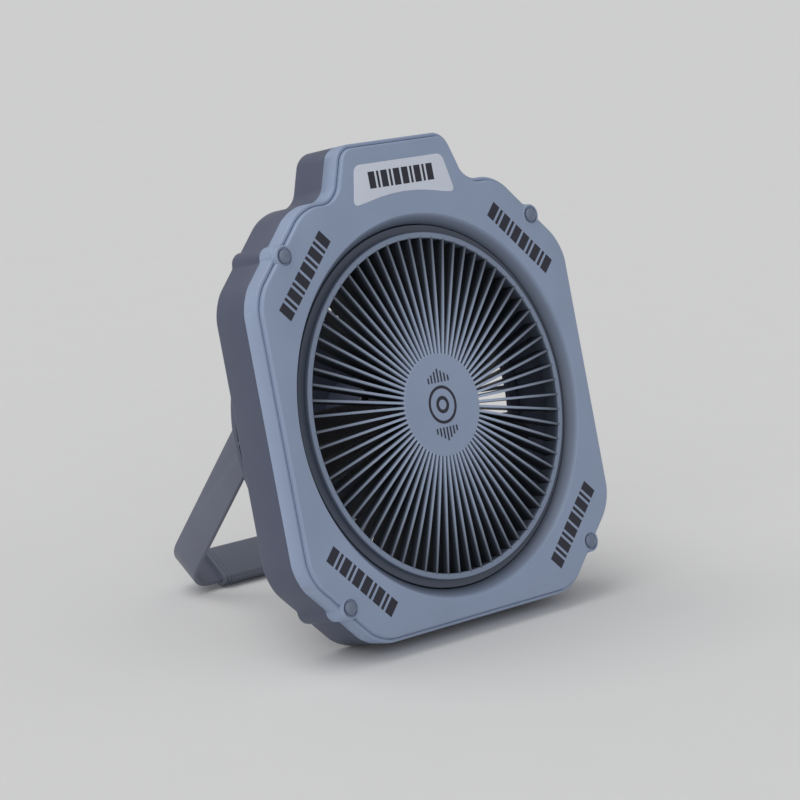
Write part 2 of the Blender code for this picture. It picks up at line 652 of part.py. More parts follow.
def make_front_grille(frame):
    def bow(radius):
        return -DOME * (1 - (radius / GRILLE_RADIUS) ** 2)

    start = HUB_RADIUS + GAP
    seat = bow(start) + BADGE_THICKNESS
    back = VANE_DEPTH
    ledge = RIM_HEIGHT + LEDGE_THICKNESS
    stations = ((HUB_BORE, seat, HUB_BORE, back), (start - 0.0004, seat, start - 0.0004, back),
                (start, bow(start), start, back),
                (GRILLE_RADIUS, 0, GRILLE_RADIUS, back), (RIM_RADIUS, 0, RIM_RADIUS - 0.0010, back),
                (RIM_RADIUS, RIM_HEIGHT, RIM_RADIUS, ledge + 0.001),
                (LEDGE_RADIUS, RIM_HEIGHT, LEDGE_RADIUS, ledge))
    outer = [station[:2] for station in stations]
    inner = [station[2:] for station in stations]
    slotted = (False, True, True, False, False, False)
    grille = make_object("front_grille", ribbed_shell(outer, inner, RIB_COUNT, RIB_WIDTH, slotted),
                         "bezel_plastic", frame)
    tabs = []
    half = TAB_RADIUS * math.sin(math.radians(TAB_ANGLE))
    for index in range(TAB_COUNT):
        reach = math.sqrt(TAB_RADIUS ** 2 - half ** 2)
        outline = [(RIM_RADIUS - 0.0015, -half), (reach, -half), (TAB_RADIUS, 0), (reach, half),
                   (RIM_RADIUS - 0.0015, half)]
        tab = prism(outline, TAB_FRONT, TAB_FRONT + TAB_THICKNESS)
        neck = [(RIM_RADIUS - 0.0015, -half), (LEDGE_RADIUS - 0.0025, -half),
                (LEDGE_RADIUS - 0.0025, half), (RIM_RADIUS - 0.0015, half)]
        turn = Matrix.Rotation(math.radians(45 + 360 / TAB_COUNT * index), 3, "Y")
        for piece in (tab, prism(neck, RIM_HEIGHT + LEDGE_THICKNESS / 2, TAB_FRONT + TAB_THICKNESS / 2)):
            bmesh.ops.rotate(piece, verts=piece.verts, matrix=turn)
            tabs.append(piece)
    for group, name in ((tabs[1::2], "grille_tab_necks"), (tabs[0::2], "grille_tabs")):
        boolean(grille, make_object(name, join(group), parent=frame), "UNION")
    front = bow(start) - 0.0001
    badge = lathe(((0, front), (HUB_RADIUS - 0.0004, front), (HUB_RADIUS, front + 0.0004),
                   (HUB_RADIUS, seat - GAP), (0, seat - GAP)), LARGE)
    make_object("hub_badge", badge, "bezel_plastic", frame)


def make_rear_guard(frame):
    inside = GUARD_RADIUS - GUARD_WALL
    face = GUARD_BACK - GUARD_WALL
    stations = ((FLANGE_RADIUS, FLANGE_BACK, FLANGE_RADIUS, FLANGE_FRONT),
                (GUARD_RADIUS, FLANGE_BACK, inside, FLANGE_FRONT),
                (GUARD_RADIUS, GUARD_BACK - 0.0034, inside, face - 0.0020),
                (GUARD_RADIUS - 0.0034, GUARD_BACK, inside - 0.0020, face),
                (COVER_DISC_RADIUS, GUARD_BACK, COVER_DISC_RADIUS, face),
                (POD_RADIUS + 0.003, GUARD_BACK, POD_RADIUS + 0.003, face),
                (POD_RADIUS - 0.001, GUARD_BACK, POD_RADIUS - 0.001, face))
    outer = [station[:2] for station in stations]
    inner = [station[2:] for station in stations]
    slotted = (False, True, False, True, False, False)
    guard = make_object("rear_guard",
                        ribbed_shell(outer, inner, GUARD_BARS, GUARD_BAR_WIDTH, slotted),
                        "housing_plastic", frame)
    bore = POD_RADIUS - POD_WALL
    pod = lathe(((0, GUARD_BACK), (POD_RADIUS, GUARD_BACK), (POD_RADIUS, POD_FRONT), (bore, POD_FRONT),
                 (bore, face), (0, face)), MEDIUM)
    boolean(guard, make_object("guard_pod", pod, parent=frame), "UNION")
    lugs = []
    for side in (-1, 1):
        root = face
        rows = []
        outer_x = side * lug_face()
        for x in (outer_x, outer_x - side * LUG_THICKNESS):
            row = [(x, root, -LUG_RADIUS - 0.003), (x, GUARD_BACK + 0.002, -LUG_RADIUS - 0.0015),
                   (x, PIVOT_BACK - 0.002, -LUG_RADIUS)]
            for step in range(9):
                angle = -math.pi / 2 + math.pi * step / 8
                row.append((x, PIVOT_BACK + LUG_RADIUS * math.cos(angle), LUG_RADIUS * math.sin(angle)))
            row += [(x, PIVOT_BACK - 0.002, LUG_RADIUS), (x, GUARD_BACK + 0.002, LUG_RADIUS + 0.0015),
                    (x, root, LUG_RADIUS + 0.003)]
            rows.append(row)
        lugs.append(loft(rows))
        pad_in = side * (lug_face() - LUG_THICKNESS - 0.004)
        pad = sorted((pad_in, side * (GUARD_RADIUS - 0.006)))
        lugs.append(prism(rectangle(pad[0], pad[1], -LUG_RADIUS - 0.008, LUG_RADIUS + 0.008),
                          face, GUARD_BACK - 0.0001))
    boolean(guard, make_object("guard_pads", join([lugs[1], lugs[3]]), parent=frame), "UNION")
    boolean(guard, make_object("guard_lugs", join([lugs[0], lugs[2]]), parent=frame), "UNION")
    holes = [prism(circle(SCREW_RADIUS + GAP, place, TINY), FLANGE_FRONT - PAST, FLANGE_BACK + PAST)
             for place in corner_places(FLANGE_SCREW_PLACE).values()]
    holes += [prism(circle(SMALL_SCREW_RADIUS + GAP, place, TINY), POD_FRONT - 0.002, POD_FRONT + 0.008)
              for place in plate_screw_places()]
    boolean(guard, make_object("guard_holes", join(holes), parent=frame), "DIFFERENCE")
    reach = lug_face() + 0.004
    pins = loft([[(x, PIVOT_BACK + y, z) for y, z in circle(PIVOT_SCREW_RADIUS + GAP, segments=SMALL)]
                 for x in (-reach, reach)])
    boolean(guard, make_object("guard_pivot_bore", pins, parent=frame), "DIFFERENCE")


def lug_face():
    """Outer face of each stand lug, inside the washer and the arm."""
    return ARM_PLACE - STRAP_THICKNESS / 2 - WASHER_THICKNESS - 2 * GAP


def make_motor(frame, rotor):
    magnet_outer = CAN_RADIUS - CAN_WALL - GAP
    can = ((BUSH_RADIUS + GAP, CAN_FRONT + GAP), (CAN_RADIUS, CAN_FRONT + GAP), (CAN_RADIUS, CAN_BACK),
           (CAN_RADIUS - CAN_WALL, CAN_BACK), (CAN_RADIUS - CAN_WALL, CAN_FRONT + GAP + CAN_WALL),
           (BUSH_RADIUS + GAP, CAN_FRONT + GAP + CAN_WALL))
    can_object = make_object("motor_can", lathe(can, MEDIUM), "motor_metal", frame)
    holes = [prism(circle(SMALL_SCREW_RADIUS + GAP, place, TINY), CAN_FRONT - 0.002, CAN_FRONT + 0.003)
             for place in motor_screw_places()]
    boolean(can_object, make_object("can_holes", join(holes), parent=frame), "DIFFERENCE")
    rings = (("magnet_ring", magnet_outer - MAGNET_THICKNESS, magnet_outer, ARMATURE_FRONT,
              ARMATURE_FRONT + ARMATURE_LENGTH, "magnet"),
             ("motor_end_cap", BUSH_RADIUS + GAP, CAN_RADIUS, CAN_BACK + GAP,
              CAN_BACK + GAP + END_CAP_THICKNESS, "tray_plastic"),
             ("front_bush", BORE, BUSH_RADIUS, CAN_FRONT + GAP, CAN_FRONT + 0.0040, "bronze"),
             ("rear_bush", BORE, BUSH_RADIUS, CAN_BACK - 0.0005, CAN_BACK + END_CAP_THICKNESS, "bronze"))
    for name, inner, outer, front, back, finish in rings:
        make_object(name, lathe(ring_profile(inner, outer, front, back), SMALL), finish, frame)
    plate = make_object("motor_plate", lathe(ring_profile(BUSH_RADIUS + 2 * GAP, POD_RADIUS, PLATE_FRONT,
                                                          PLATE_FRONT + PLATE_THICKNESS), MEDIUM),
                        "steel", frame)
    places = motor_screw_places() + plate_screw_places()
    holes = [prism(circle(SMALL_SCREW_RADIUS + GAP, place, TINY), PLATE_FRONT - 0.001, POD_FRONT + 0.001)
             for place in places]
    boolean(plate, make_object("plate_holes", join(holes), parent=frame), "DIFFERENCE")
    for number, place in enumerate(motor_screw_places(), 1):
        make_screw(f"motor_screw_{number}", frame, place, PLATE_FRONT - GAP, SMALL_SCREW_RADIUS,
                    MOTOR_SCREW_LENGTH)
    for number, place in enumerate(plate_screw_places(), 1):
        make_screw(f"plate_screw_{number}", frame, place, PLATE_FRONT - GAP, SMALL_SCREW_RADIUS,
                    PLATE_SCREW_LENGTH)

    shaft_front = IMPELLER_FRONT - GAP - NUT_THICKNESS + 0.0002
    shaft = lathe(((0, shaft_front), (SHAFT_RADIUS, shaft_front), (SHAFT_RADIUS, CAN_BACK + 0.0018),
                   (0, CAN_BACK + 0.0018)), SMALL)
    make_object("motor_shaft", shaft, "steel", rotor)
    core = lathe(((BORE, ARMATURE_FRONT), (ARMATURE_RADIUS - 0.002, ARMATURE_FRONT),
                  (ARMATURE_RADIUS, ARMATURE_FRONT + 0.0015),
                  (ARMATURE_RADIUS, ARMATURE_FRONT + ARMATURE_LENGTH - 0.0015),
                  (ARMATURE_RADIUS - 0.002, ARMATURE_FRONT + ARMATURE_LENGTH),
                  (BORE, ARMATURE_FRONT + ARMATURE_LENGTH)), SMALL)
    make_object("armature", core, "copper", rotor)
    start = ARMATURE_FRONT + ARMATURE_LENGTH + GAP
    commutator = lathe(ring_profile(BORE, COMMUTATOR_RADIUS, start, start + COMMUTATOR_LENGTH), SMALL)
    make_object("commutator", commutator, "copper", rotor)
    nut = prism(circle(NUT_RADIUS, segments=6), IMPELLER_FRONT - GAP - NUT_THICKNESS, IMPELLER_FRONT - GAP)
    nut_object = make_object("impeller_nut", nut, "steel", rotor)
    bore = prism(circle(BORE, segments=SMALL), 0.005, IMPELLER_FRONT + 0.002)
    boolean(nut_object, make_object("nut_bore", bore, parent=rotor), "DIFFERENCE")


def motor_screw_places():
    return [(MOTOR_SCREW_PLACE, 0.0), (-MOTOR_SCREW_PLACE, 0.0)]


def plate_screw_places():
    radius = POD_RADIUS - POD_WALL / 2
    turns = [math.radians(90 + 120 * index) for index in range(3)]
    return [(radius * math.cos(turn), radius * math.sin(turn)) for turn in turns]


def board_screw_places():
    middle = (CELL_HEIGHTS[0] + CELL_HEIGHTS[1]) / 2
    return [(BOARD_SCREW_PLACE, middle), (-BOARD_SCREW_PLACE, middle)]


def make_impeller(rotor):
    front = IMPELLER_FRONT
    back = front + IMPELLER_HUB_LENGTH
    wall = IMPELLER_WALL
    outside = IMPELLER_HUB_RADIUS
    hub = lathe(((BORE, front), (outside * 0.6, front), (outside - 0.002, front + 0.0025),
                 (outside, front + 0.006), (outside, back), (outside - wall, back),
                 (outside - wall, front + 0.006), (outside * 0.6, front + wall + 0.0005),
                 (0.0055, front + wall + 0.0005), (0.0055, back - 0.002), (BORE, back - 0.002)), MEDIUM)
    impeller = make_object("impeller", hub, "impeller_plastic", rotor)
    blades = []
    stations = 4
    chord_points = 4
    for index in range(BLADE_COUNT):
        middle = math.radians(180 + 360 / BLADE_COUNT * index)
        rings = []
        for station in range(stations):
            share = station / (stations - 1)
            radius = outside - wall / 2 + (IMPELLER_TIP_RADIUS - outside + wall / 2) * share
            chord = ROOT_CHORD + (TIP_CHORD - ROOT_CHORD) * share * (3 - share ** 2) / 2
            pitch = math.radians(ROOT_PITCH + (TIP_PITCH - ROOT_PITCH) * share)
            sweep = math.radians(BLADE_SWEEP) * share
            ring = []
            for surface in (-1, 1):
                order = range(chord_points) if surface < 0 else range(chord_points - 1, -1, -1)
                for step in order:
                    along = step / (chord_points - 1) - 0.5
                    camber = 0.10 * chord * (1 - 4 * along ** 2)
                    round_off = 1 - 0.6 * (2 * abs(along)) ** 4
                    depth = (BLADE_MIDDLE - chord * along * math.sin(pitch) + camber * math.cos(pitch)
                             + surface * BLADE_THICKNESS / 2 * round_off)
                    angle = middle + sweep + chord * along * math.cos(pitch) / max(radius, 0.03)
                    ring.append((radius * math.cos(angle), depth, radius * math.sin(angle)))
            rings.append(ring)
        blades.append(loft(rings))
    boolean(impeller, make_object("impeller_blades", join(blades), parent=rotor), "UNION")


def make_screw(name, parent, place, head_back, radius, length, head_front_side=-1, finish="steel"):
    """A pan-head screw along the fan's axis. head_back is the plane that its head bears on."""
    side = head_front_side
    head = SCREW_HEAD_RADIUS if radius >= SCREW_RADIUS else SMALL_SCREW_HEAD_RADIUS
    height = side * SCREW_HEAD_HEIGHT * (1 if radius >= SCREW_RADIUS else 0.8)
    profile = ((0, head_back + height), (head * 0.7, head_back + height), (head, head_back),
               (radius, head_back),
               (radius, head_back - side * length), (0, head_back - side * length))
    return make_object(name, lathe(profile, TINY, place), finish, parent)


def make_corner_fasteners(frame):
    seat = POCKET_FLOOR + SCREW_HEAD_HEIGHT
    for corner, place in corner_places(PILLAR_PLACE).items():
        make_screw(f"corner_screw_{corner}", frame, place, seat, SCREW_RADIUS, CORNER_SCREW_LENGTH)
        base = POCKET_FLOOR - GAP
        cap = ((0, base - 0.0030), (CAP_RADIUS * 0.45, base - 0.0027), (CAP_RADIUS * 0.80, base - 0.0018),
               (CAP_RADIUS, base - 0.0006), (CAP_RADIUS, base), (0, base))
        make_object(f"screw_cap_{corner}", lathe(cap, SMALL, place), "bezel_plastic", frame)
    for corner, place in corner_places(FLANGE_SCREW_PLACE).items():
        make_screw(f"guard_screw_{corner}", frame, place, FLANGE_BACK + GAP, SCREW_RADIUS,
                    GUARD_SCREW_LENGTH, 1)


def make_battery(frame):
    half = CELL_LENGTH / 2
    for number, height in enumerate(CELL_HEIGHTS, 1):
        rings = []
        for x, radius in ((-half, CELL_RADIUS - 0.0008), (0.0008 - half, CELL_RADIUS),
                          (half - 0.0008, CELL_RADIUS), (half, CELL_RADIUS - 0.0008)):
            rings.append([(x, y, z) for y, z in circle(radius, (CELL_DEPTH, height), SMALL)])
        make_object(f"battery_cell_{number}", loft(rings), "cell_wrap", frame)
    edge = half + GAP + 0.0006
    back = REAR_FLOOR - GAP
    inner = [(-edge, back), (-edge, TRAY_FRONT + TRAY_WALL), (edge, TRAY_FRONT + TRAY_WALL),
             (edge, back), (edge + TRAY_WALL, back), (edge + TRAY_WALL, TRAY_FRONT),
             (-edge - TRAY_WALL, TRAY_FRONT), (-edge - TRAY_WALL, back)]
    tray = loft([[(x, y, z) for x, y in inner] for z in TRAY_HEIGHTS])
    make_object("battery_tray", tray, "tray_plastic", frame)


def make_controls(frame):
    low, high = BOARD_HEIGHTS
    back = BOARD_FRONT + BOARD_THICKNESS
    board = prism(rectangle(-BOARD_HALF_WIDTH, BOARD_HALF_WIDTH, low, high), BOARD_FRONT, back)
    board_object = make_object("control_board", board, "board_green", frame)
    switches = [prism(rectangle(x - 0.003, x + 0.003, z - 0.003, z + 0.003), back - 0.0004,
                      back + SWITCH_HEIGHT) for x, z in BUTTON_PLACES.values()]
    boolean(board_object, make_object("board_switches", join(switches), parent=frame), "UNION")
    holes = [prism(circle(SCREW_RADIUS + GAP, place, TINY), BOARD_FRONT - 0.001, back + 0.001)
             for place in board_screw_places()]
    boolean(board_object, make_object("board_holes", join(holes), parent=frame), "DIFFERENCE")
    for number, place in enumerate(board_screw_places(), 1):
        make_screw(f"board_screw_{number}", frame, place, BOARD_FRONT - GAP, SCREW_RADIUS,
                    BOARD_SCREW_LENGTH)

    flange_back = REAR_FLOOR - GAP
    for name, (x, z) in BUTTON_PLACES.items():
        button = lathe(((0, BODY_BACK + BUTTON_PROUD), (BUTTON_RADIUS - 0.0004, BODY_BACK + BUTTON_PROUD),
                        (BUTTON_RADIUS, BODY_BACK + BUTTON_PROUD - 0.0004), (BUTTON_RADIUS, flange_back),
                        (BUTTON_RADIUS + 0.0012, flange_back),
                        (BUTTON_RADIUS + 0.0012, flange_back - BUTTON_FLANGE),
                        (0, flange_back - BUTTON_FLANGE)), SMALL)
        bmesh.ops.translate(button, verts=button.verts, vec=(0, -BODY_BACK, 0))
        make_object(name, button, "bezel_plastic", frame, (x, BODY_BACK, z))
    lens = shell(stadium(LENS_HALF_LENGTH, LENS_RADIUS, LENS_PLACE, 5),
                 ((0, back + GAP), (0, BODY_BACK), (0.0003, BODY_BACK + 0.0002)))
    make_object("indicator_lens", lens, "lens_plastic", frame)
    mouth = back + GAP + PORT_LENGTH
    port = shell(stadium(PORT_HALF_WIDTH, PORT_RADIUS, (0, PORT_HEIGHT), 5),
                 ((0, back + GAP), (0, mouth), (0.0004, mouth), (0.0004, back + GAP + 0.0006)))
    make_object("usb_port", port, "steel", frame)
    cover_back = BODY_BACK - COVER_RECESS + GAP + COVER_THICKNESS
    hinge = empty("port_cover_hinge", frame, (-COVER_HALF_WIDTH, cover_back, PORT_HEIGHT))
    width = 2 * COVER_HALF_WIDTH
    cover = prism(round_corners([(0, -COVER_HALF_HEIGHT, 0), (width, -COVER_HALF_HEIGHT, 0.0012),
                                 (width, COVER_HALF_HEIGHT, 0.0012), (0, COVER_HALF_HEIGHT, 0)]),
                  -COVER_THICKNESS, 0)
    cover_object = make_object("port_cover", cover, "grip_rubber", hinge)
    lip = prism(rectangle(width - 0.0022, width - 0.0008, -0.0022, 0.0022), -0.0004, 0.0007)
    boolean(cover_object, make_object("cover_lip", lip, parent=hinge), "UNION")


def make_feet(frame):
    front, back = FOOT_DEPTHS
    for side, name in ((-1, "left"), (1, "right")):
        middle = side * FOOT_PLACE
        foot = prism(rectangle(middle - FOOT_HALF_LENGTH, middle + FOOT_HALF_LENGTH,
                               -FOOT_BOTTOM, FOOT_POCKET - BOTTOM - GAP), front, back)
        make_object(f"rubber_foot_{name}", foot, "grip_rubber", frame)


def make_stand(frame):
    """The stand is modelled hanging straight down from its pivot and turned about it by ARM_ANGLE."""
    swing = empty("stand_pivot", frame, (0, PIVOT_BACK, 0), ARM_ANGLE + LEAN_ANGLE)
    half = STRAP_WIDTH / 2
    bend_steps = 7
    path = []
    for height in (0.0113, 0.0092, 0.0058, 0.0):
        path.append((-ARM_PLACE, height, (-1, 0), math.sqrt(max(half ** 2 - height ** 2, 0.0021 ** 2))))
    for step in range(bend_steps + 1):
        turn = math.pi / 2 * step / bend_steps
        normal = (-math.cos(turn), -math.sin(turn))
        path.append((STRAP_BEND - ARM_PLACE + STRAP_BEND * normal[0],
                     STRAP_BEND - ARM_LENGTH + STRAP_BEND * normal[1], normal, half))
    path += [(-x, z, (-normal[0], normal[1]), wide) for x, z, normal, wide in reversed(path)]
    rings = []
    thick = STRAP_THICKNESS / 2
    for x, z, (across, down), wide in path:
        rings.append([(x + across * thick * out, deep, z + down * thick * out)
                      for out, deep in ((1, wide), (1, -wide), (-1, -wide), (-1, wide))])
    bail = make_object("stand_bail", loft(rings), "stand_metal", swing)
    holes = []
    for side in (-1, 1):
        holes.append(loft([[(side * ARM_PLACE + x, y, z)
                            for y, z in circle(PIVOT_SCREW_RADIUS + GAP, segments=SMALL)]
                           for x in (-0.004, 0.004)]))
    boolean(bail, make_object("bail_holes", join(holes), parent=swing), "DIFFERENCE")

    def sleeve(x, width, thickness, bevel):
        corners = ((-width / 2, -thickness / 2), (width / 2, -thickness / 2),
                   (width / 2, thickness / 2), (-width / 2, thickness / 2))
        points = []
        for deep, down in corners:
            in_deep = math.copysign(bevel, deep)
            in_down = math.copysign(bevel, down)
            pair = [(deep, down - in_down), (deep - in_deep, down)]
            points += pair if deep * down > 0 else pair[::-1]
        return [(x, deep, down - ARM_LENGTH) for deep, down in points]

    groove = 2 * GRIP_GROOVE
    slot = 0.0005
    profile = [(GRIP_HALF_LENGTH, groove)]
    profile += [(GRIP_HALF_LENGTH - 0.0008, 0)]
    for place in reversed(GRIP_GROOVES):
        profile += [(place + slot, 0), (place + slot / 2, groove), (place - slot / 2, groove),
                    (place - slot, 0)]
    stations = [(-x, cut) for x, cut in profile] + [(x, cut) for x, cut in reversed(profile)]
    outside = [sleeve(x, GRIP_WIDTH - cut, GRIP_THICKNESS - cut, GRIP_BEVEL) for x, cut in stations]
    inside = [sleeve(x, STRAP_WIDTH + 2 * GAP, STRAP_THICKNESS + 2 * GAP, 0.0001)
              for x in (GRIP_HALF_LENGTH, -GRIP_HALF_LENGTH)]
    make_object("stand_grip", loft(outside + inside, closed=True), "grip_rubber", swing)


def make_pivots(frame):
    for side, name in ((-1, "left"), (1, "right")):
        def turned(profile, segments):
            """A lathe about the pivot, with distances measured outwards from the lug's outer face."""
            bm = lathe(profile, segments)
            place = Matrix.Translation((side * lug_face(), PIVOT_BACK, 0))
            bmesh.ops.transform(bm, verts=bm.verts,
                                matrix=place @ Matrix.Rotation(-side * math.pi / 2, 4, "Z"))
            return bm

        radius = PIVOT_SCREW_RADIUS
        seat = 2 * GAP + WASHER_THICKNESS + STRAP_THICKNESS + GAP
        inner_end = -LUG_THICKNESS - GAP - PIVOT_NUT_HEIGHT
        head = PIVOT_HEAD_RADIUS
        screw = ((0, seat + PIVOT_HEAD_HEIGHT), (head * 0.75, seat + PIVOT_HEAD_HEIGHT),
                 (head, seat + PIVOT_HEAD_HEIGHT * 0.5), (head, seat), (radius, seat),
                 (radius, inner_end), (0, inner_end))
        make_object(f"pivot_screw_{name}", turned(screw, SMALL), "steel", frame)
        washer = ring_profile(radius + GAP, PIVOT_HEAD_RADIUS, GAP, GAP + WASHER_THICKNESS)
        make_object(f"friction_washer_{name}", turned(washer, SMALL), "grip_rubber", frame)
        nut = ring_profile((radius + GAP) / math.cos(math.pi / 6), PIVOT_NUT_RADIUS, inner_end,
                           -LUG_THICKNESS - GAP)
        make_object(f"pivot_nut_{name}", turned(nut, 6), "steel", frame)


def main():
    clear_scene()
    frame = empty("fan_frame", location=(0, -(FRONTMOST + BACKMOST) / 2, AXIS_HEIGHT), turn_x=-LEAN_ANGLE)
    rotor = empty("fan_axis", frame)
    make_front_bezel(frame)
    make_name_plate(frame)
    make_rear_housing(frame)
    make_front_grille(frame)
    make_rear_guard(frame)
    make_motor(frame, rotor)
    make_impeller(rotor)
    make_corner_fasteners(frame)
    make_battery(frame)
    make_controls(frame)
    make_feet(frame)
    make_stand(frame)
    make_pivots(frame)


main()
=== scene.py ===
# %% [markdown]
# # A table fan that leans back on its strap stand
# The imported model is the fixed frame: it says where every piece is and how it moves. This script dresses
# it. Pieces that show are modelled again with finer edges, and pieces inside keep their shape and get a
# finish.

# %% Load the frame
import json
import math

import bmesh
import bpy
from mathutils import Matrix, Vector


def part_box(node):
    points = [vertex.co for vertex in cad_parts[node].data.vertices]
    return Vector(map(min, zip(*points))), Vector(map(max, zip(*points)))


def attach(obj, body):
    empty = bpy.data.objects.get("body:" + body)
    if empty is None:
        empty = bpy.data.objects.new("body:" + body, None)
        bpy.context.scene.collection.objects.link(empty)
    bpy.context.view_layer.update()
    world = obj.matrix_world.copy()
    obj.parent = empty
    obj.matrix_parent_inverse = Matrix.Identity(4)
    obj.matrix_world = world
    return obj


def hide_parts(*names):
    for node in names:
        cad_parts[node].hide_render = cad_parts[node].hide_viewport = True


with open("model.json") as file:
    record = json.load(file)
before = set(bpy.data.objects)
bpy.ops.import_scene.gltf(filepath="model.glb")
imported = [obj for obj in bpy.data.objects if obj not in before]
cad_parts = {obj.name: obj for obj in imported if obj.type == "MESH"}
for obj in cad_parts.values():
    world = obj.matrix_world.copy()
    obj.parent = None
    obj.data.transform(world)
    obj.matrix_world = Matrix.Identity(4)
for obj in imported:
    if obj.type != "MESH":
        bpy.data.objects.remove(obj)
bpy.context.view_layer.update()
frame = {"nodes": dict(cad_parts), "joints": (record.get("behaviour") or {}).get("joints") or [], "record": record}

# %% [markdown]
# The body leans back, so pieces are easiest to model upright: X to the right, Y back along the air flow, Z
# up the face, with the origin on the fan's axis in the plane of the grille rim. The spin joint of the frame
# gives that axis, and one matrix leans each finished piece into place.

# %% The leaning frame
spin = next(joint for joint in frame["joints"] if joint["name"] == "fan_spin")
forward = Vector(spin["axis"])
lean = math.atan2(forward.z, -forward.y)
LEANING = Matrix.Translation(spin["pos_m"]) @ Matrix.Rotation(-lean, 4, "X")
print("lean in degrees:", round(math.degrees(lean), 2))


def upright_box(node):
    """Lowest and highest corner of a CAD node in the upright frame."""
    back = LEANING.inverted()
    points = [back @ vertex.co for vertex in frame["nodes"][node].data.vertices]
    low = Vector([min(point[axis] for point in points) for axis in range(3)])
    high = Vector([max(point[axis] for point in points) for axis in range(3)])
    return low, high


rear_high = upright_box("rear_housing")[1]
face_low = upright_box("front_bezel")[0]
print("face plane, back plane:", round(face_low.y, 4), round(rear_high.y, 4))

# %% [markdown]
# ## Sizes
# The outline is a square with 45 degree corners and a hump on top. Its half width, top, face and back are
# read from the frame. The other main sizes, in metres, are named here or beside the piece they shape. Depths
# count back from the plane of the grille rim.

# %% Sizes of the body
HALF_WIDTH = rear_high.x
UNDERSIDE = 0.1285
SHOULDER = 0.1298
TOP = rear_high.z
CORNER_FLAT = 0.1487
HUMP_TOP = 0.0433
HUMP_FOOT = 0.0551
PILLAR = 0.102
PILLAR_RADIUS = 0.0072
FACE = face_low.y
PARTING = 0.0106
SEAM = 0.0003
BACK = rear_high.y
WALL = 0.0025
FACE_INSET = 0.0020
GROOVE_WIDTH = 0.0007
GROOVE_DEPTH = 0.0008
GROOVE_FOOT = 0.0006
BAND_ROUND = 0.0012
FACE_ROUND = 0.0014
MOULD_EDGE = 0.00025
CORNERS = {"top_right": (1, 1), "top_left": (-1, 1), "bottom_left": (-1, -1), "bottom_right": (1, -1)}

# %% Sizes of the grille and guard
RIB_COUNT = 68
RIB_WIDTH = 0.00155
VANE_DEPTH = 0.0100
DOME = 0.0023
HUB_RADIUS = 0.03065
GRILLE_RADIUS = 0.1000
RIM_RADIUS = 0.1035
LEDGE_RADIUS = 0.1082
LEDGE_DEPTH = 0.0036
LIP_RADIUS = 0.1090
CONE_RADIUS = 0.1145
LIP_DEPTH = 0.0040
DUCT_RADIUS = 0.1030
GUARD_RADIUS = 0.0980
GUARD_BACK = 0.0784
GUARD_WALL = 0.0024
GUARD_BARS = 36
MID_RING = 0.0620
POD_RADIUS = 0.0240
print("gap between two ribs at the rim:", round(2 * math.pi * GRILLE_RADIUS / RIB_COUNT - RIB_WIDTH, 4))

# %% [markdown]
# ## Camera and light
# The fan stands on a plain pale floor. The camera looks at it from the front left, a little above, through
# a long lens. A broad sun almost overhead, a little to the left and behind, gives the key light. A weaker
# one from the camera's side lights the left side and the face, and the even sky fills the rest, so that the
# floor stays the same pale grey everywhere and the shadow under the fan is soft.

# %% Camera
CAMERA_PLACE = (-1.26883, -1.32471, 0.54810)
CAMERA_LOOK = Vector((0.6826, 0.6955, -0.2245))
camera_data = bpy.data.cameras.new("camera")
camera_data.lens = 139.3
camera_data.sensor_width = 36.0
camera_data.clip_end = 60.0
camera = bpy.data.objects.new("camera", camera_data)
bpy.context.scene.collection.objects.link(camera)
camera.location = CAMERA_PLACE
camera.rotation_euler = CAMERA_LOOK.to_track_quat("-Z", "Y").to_euler()
bpy.context.scene.camera = camera
bpy.context.scene.view_settings.view_transform = "Standard"

# %% Light
KEY_FROM = Vector((-0.32, 0.26, 0.90))
FILL_FROM = Vector((-0.75, -0.55, 0.40))
SKY_COLOUR = (0.98, 0.985, 1.0, 1.0)
SKY_STRENGTH = 0.42


def add_sun(name, toward_light, strength, softness):
    data = bpy.data.lights.new(name, "SUN")
    data.energy = strength
    data.angle = math.radians(softness)
    light = bpy.data.objects.new(name, data)
    light.rotation_euler = toward_light.to_track_quat("Z", "Y").to_euler()
    bpy.context.scene.collection.objects.link(light)


add_sun("key_sun", KEY_FROM, strength=1.00, softness=50.0)
add_sun("side_fill", FILL_FROM, strength=0.60, softness=60.0)
world = bpy.data.worlds.new("studio_sky")
bpy.context.scene.world = world
world.use_nodes = True
sky = world.node_tree.nodes["Background"]
sky.inputs["Color"].default_value = SKY_COLOUR
sky.inputs["Strength"].default_value = SKY_STRENGTH

# %% [markdown]
# ## Finishes
# Every finish is made of nodes that read Object coordinates, so the grain stays the same size on every
# piece. Moulded plastic is never one flat colour: it drifts a little where the melt flowed, its gloss
# changes in soft clouds, and a fine spark-eroded texture from the mould breaks up the highlight.

# %% A base for every finish
DRIFT_SCALE = 22.0
GLOSS_SCALE = 45.0
GLOSS_SPREAD = 0.06
DARK_END, LIGHT_END = 0.30, 0.70


def start_finish(name, roughness, metallic=0.0):
    material = bpy.data.materials.new(name)
    material.use_nodes = True
    shader = material.node_tree.nodes["Principled BSDF"]
    shader.inputs["Roughness"].default_value = roughness
    shader.inputs["Metallic"].default_value = metallic
    return material


def noise_on(material, scale, detail=4.0, stretch=(1, 1, 1)):
    nodes, links = material.node_tree.nodes, material.node_tree.links
    place = nodes.new("ShaderNodeTexCoord")
    mapping = nodes.new("ShaderNodeMapping")
    mapping.inputs["Scale"].default_value = stretch
    noise = nodes.new("ShaderNodeTexNoise")
    noise.inputs["Scale"].default_value = scale
    noise.inputs["Detail"].default_value = detail
    links.new(place.outputs["Object"], mapping.inputs["Vector"])
    links.new(mapping.outputs["Vector"], noise.inputs["Vector"])
    return noise.outputs["Fac"]


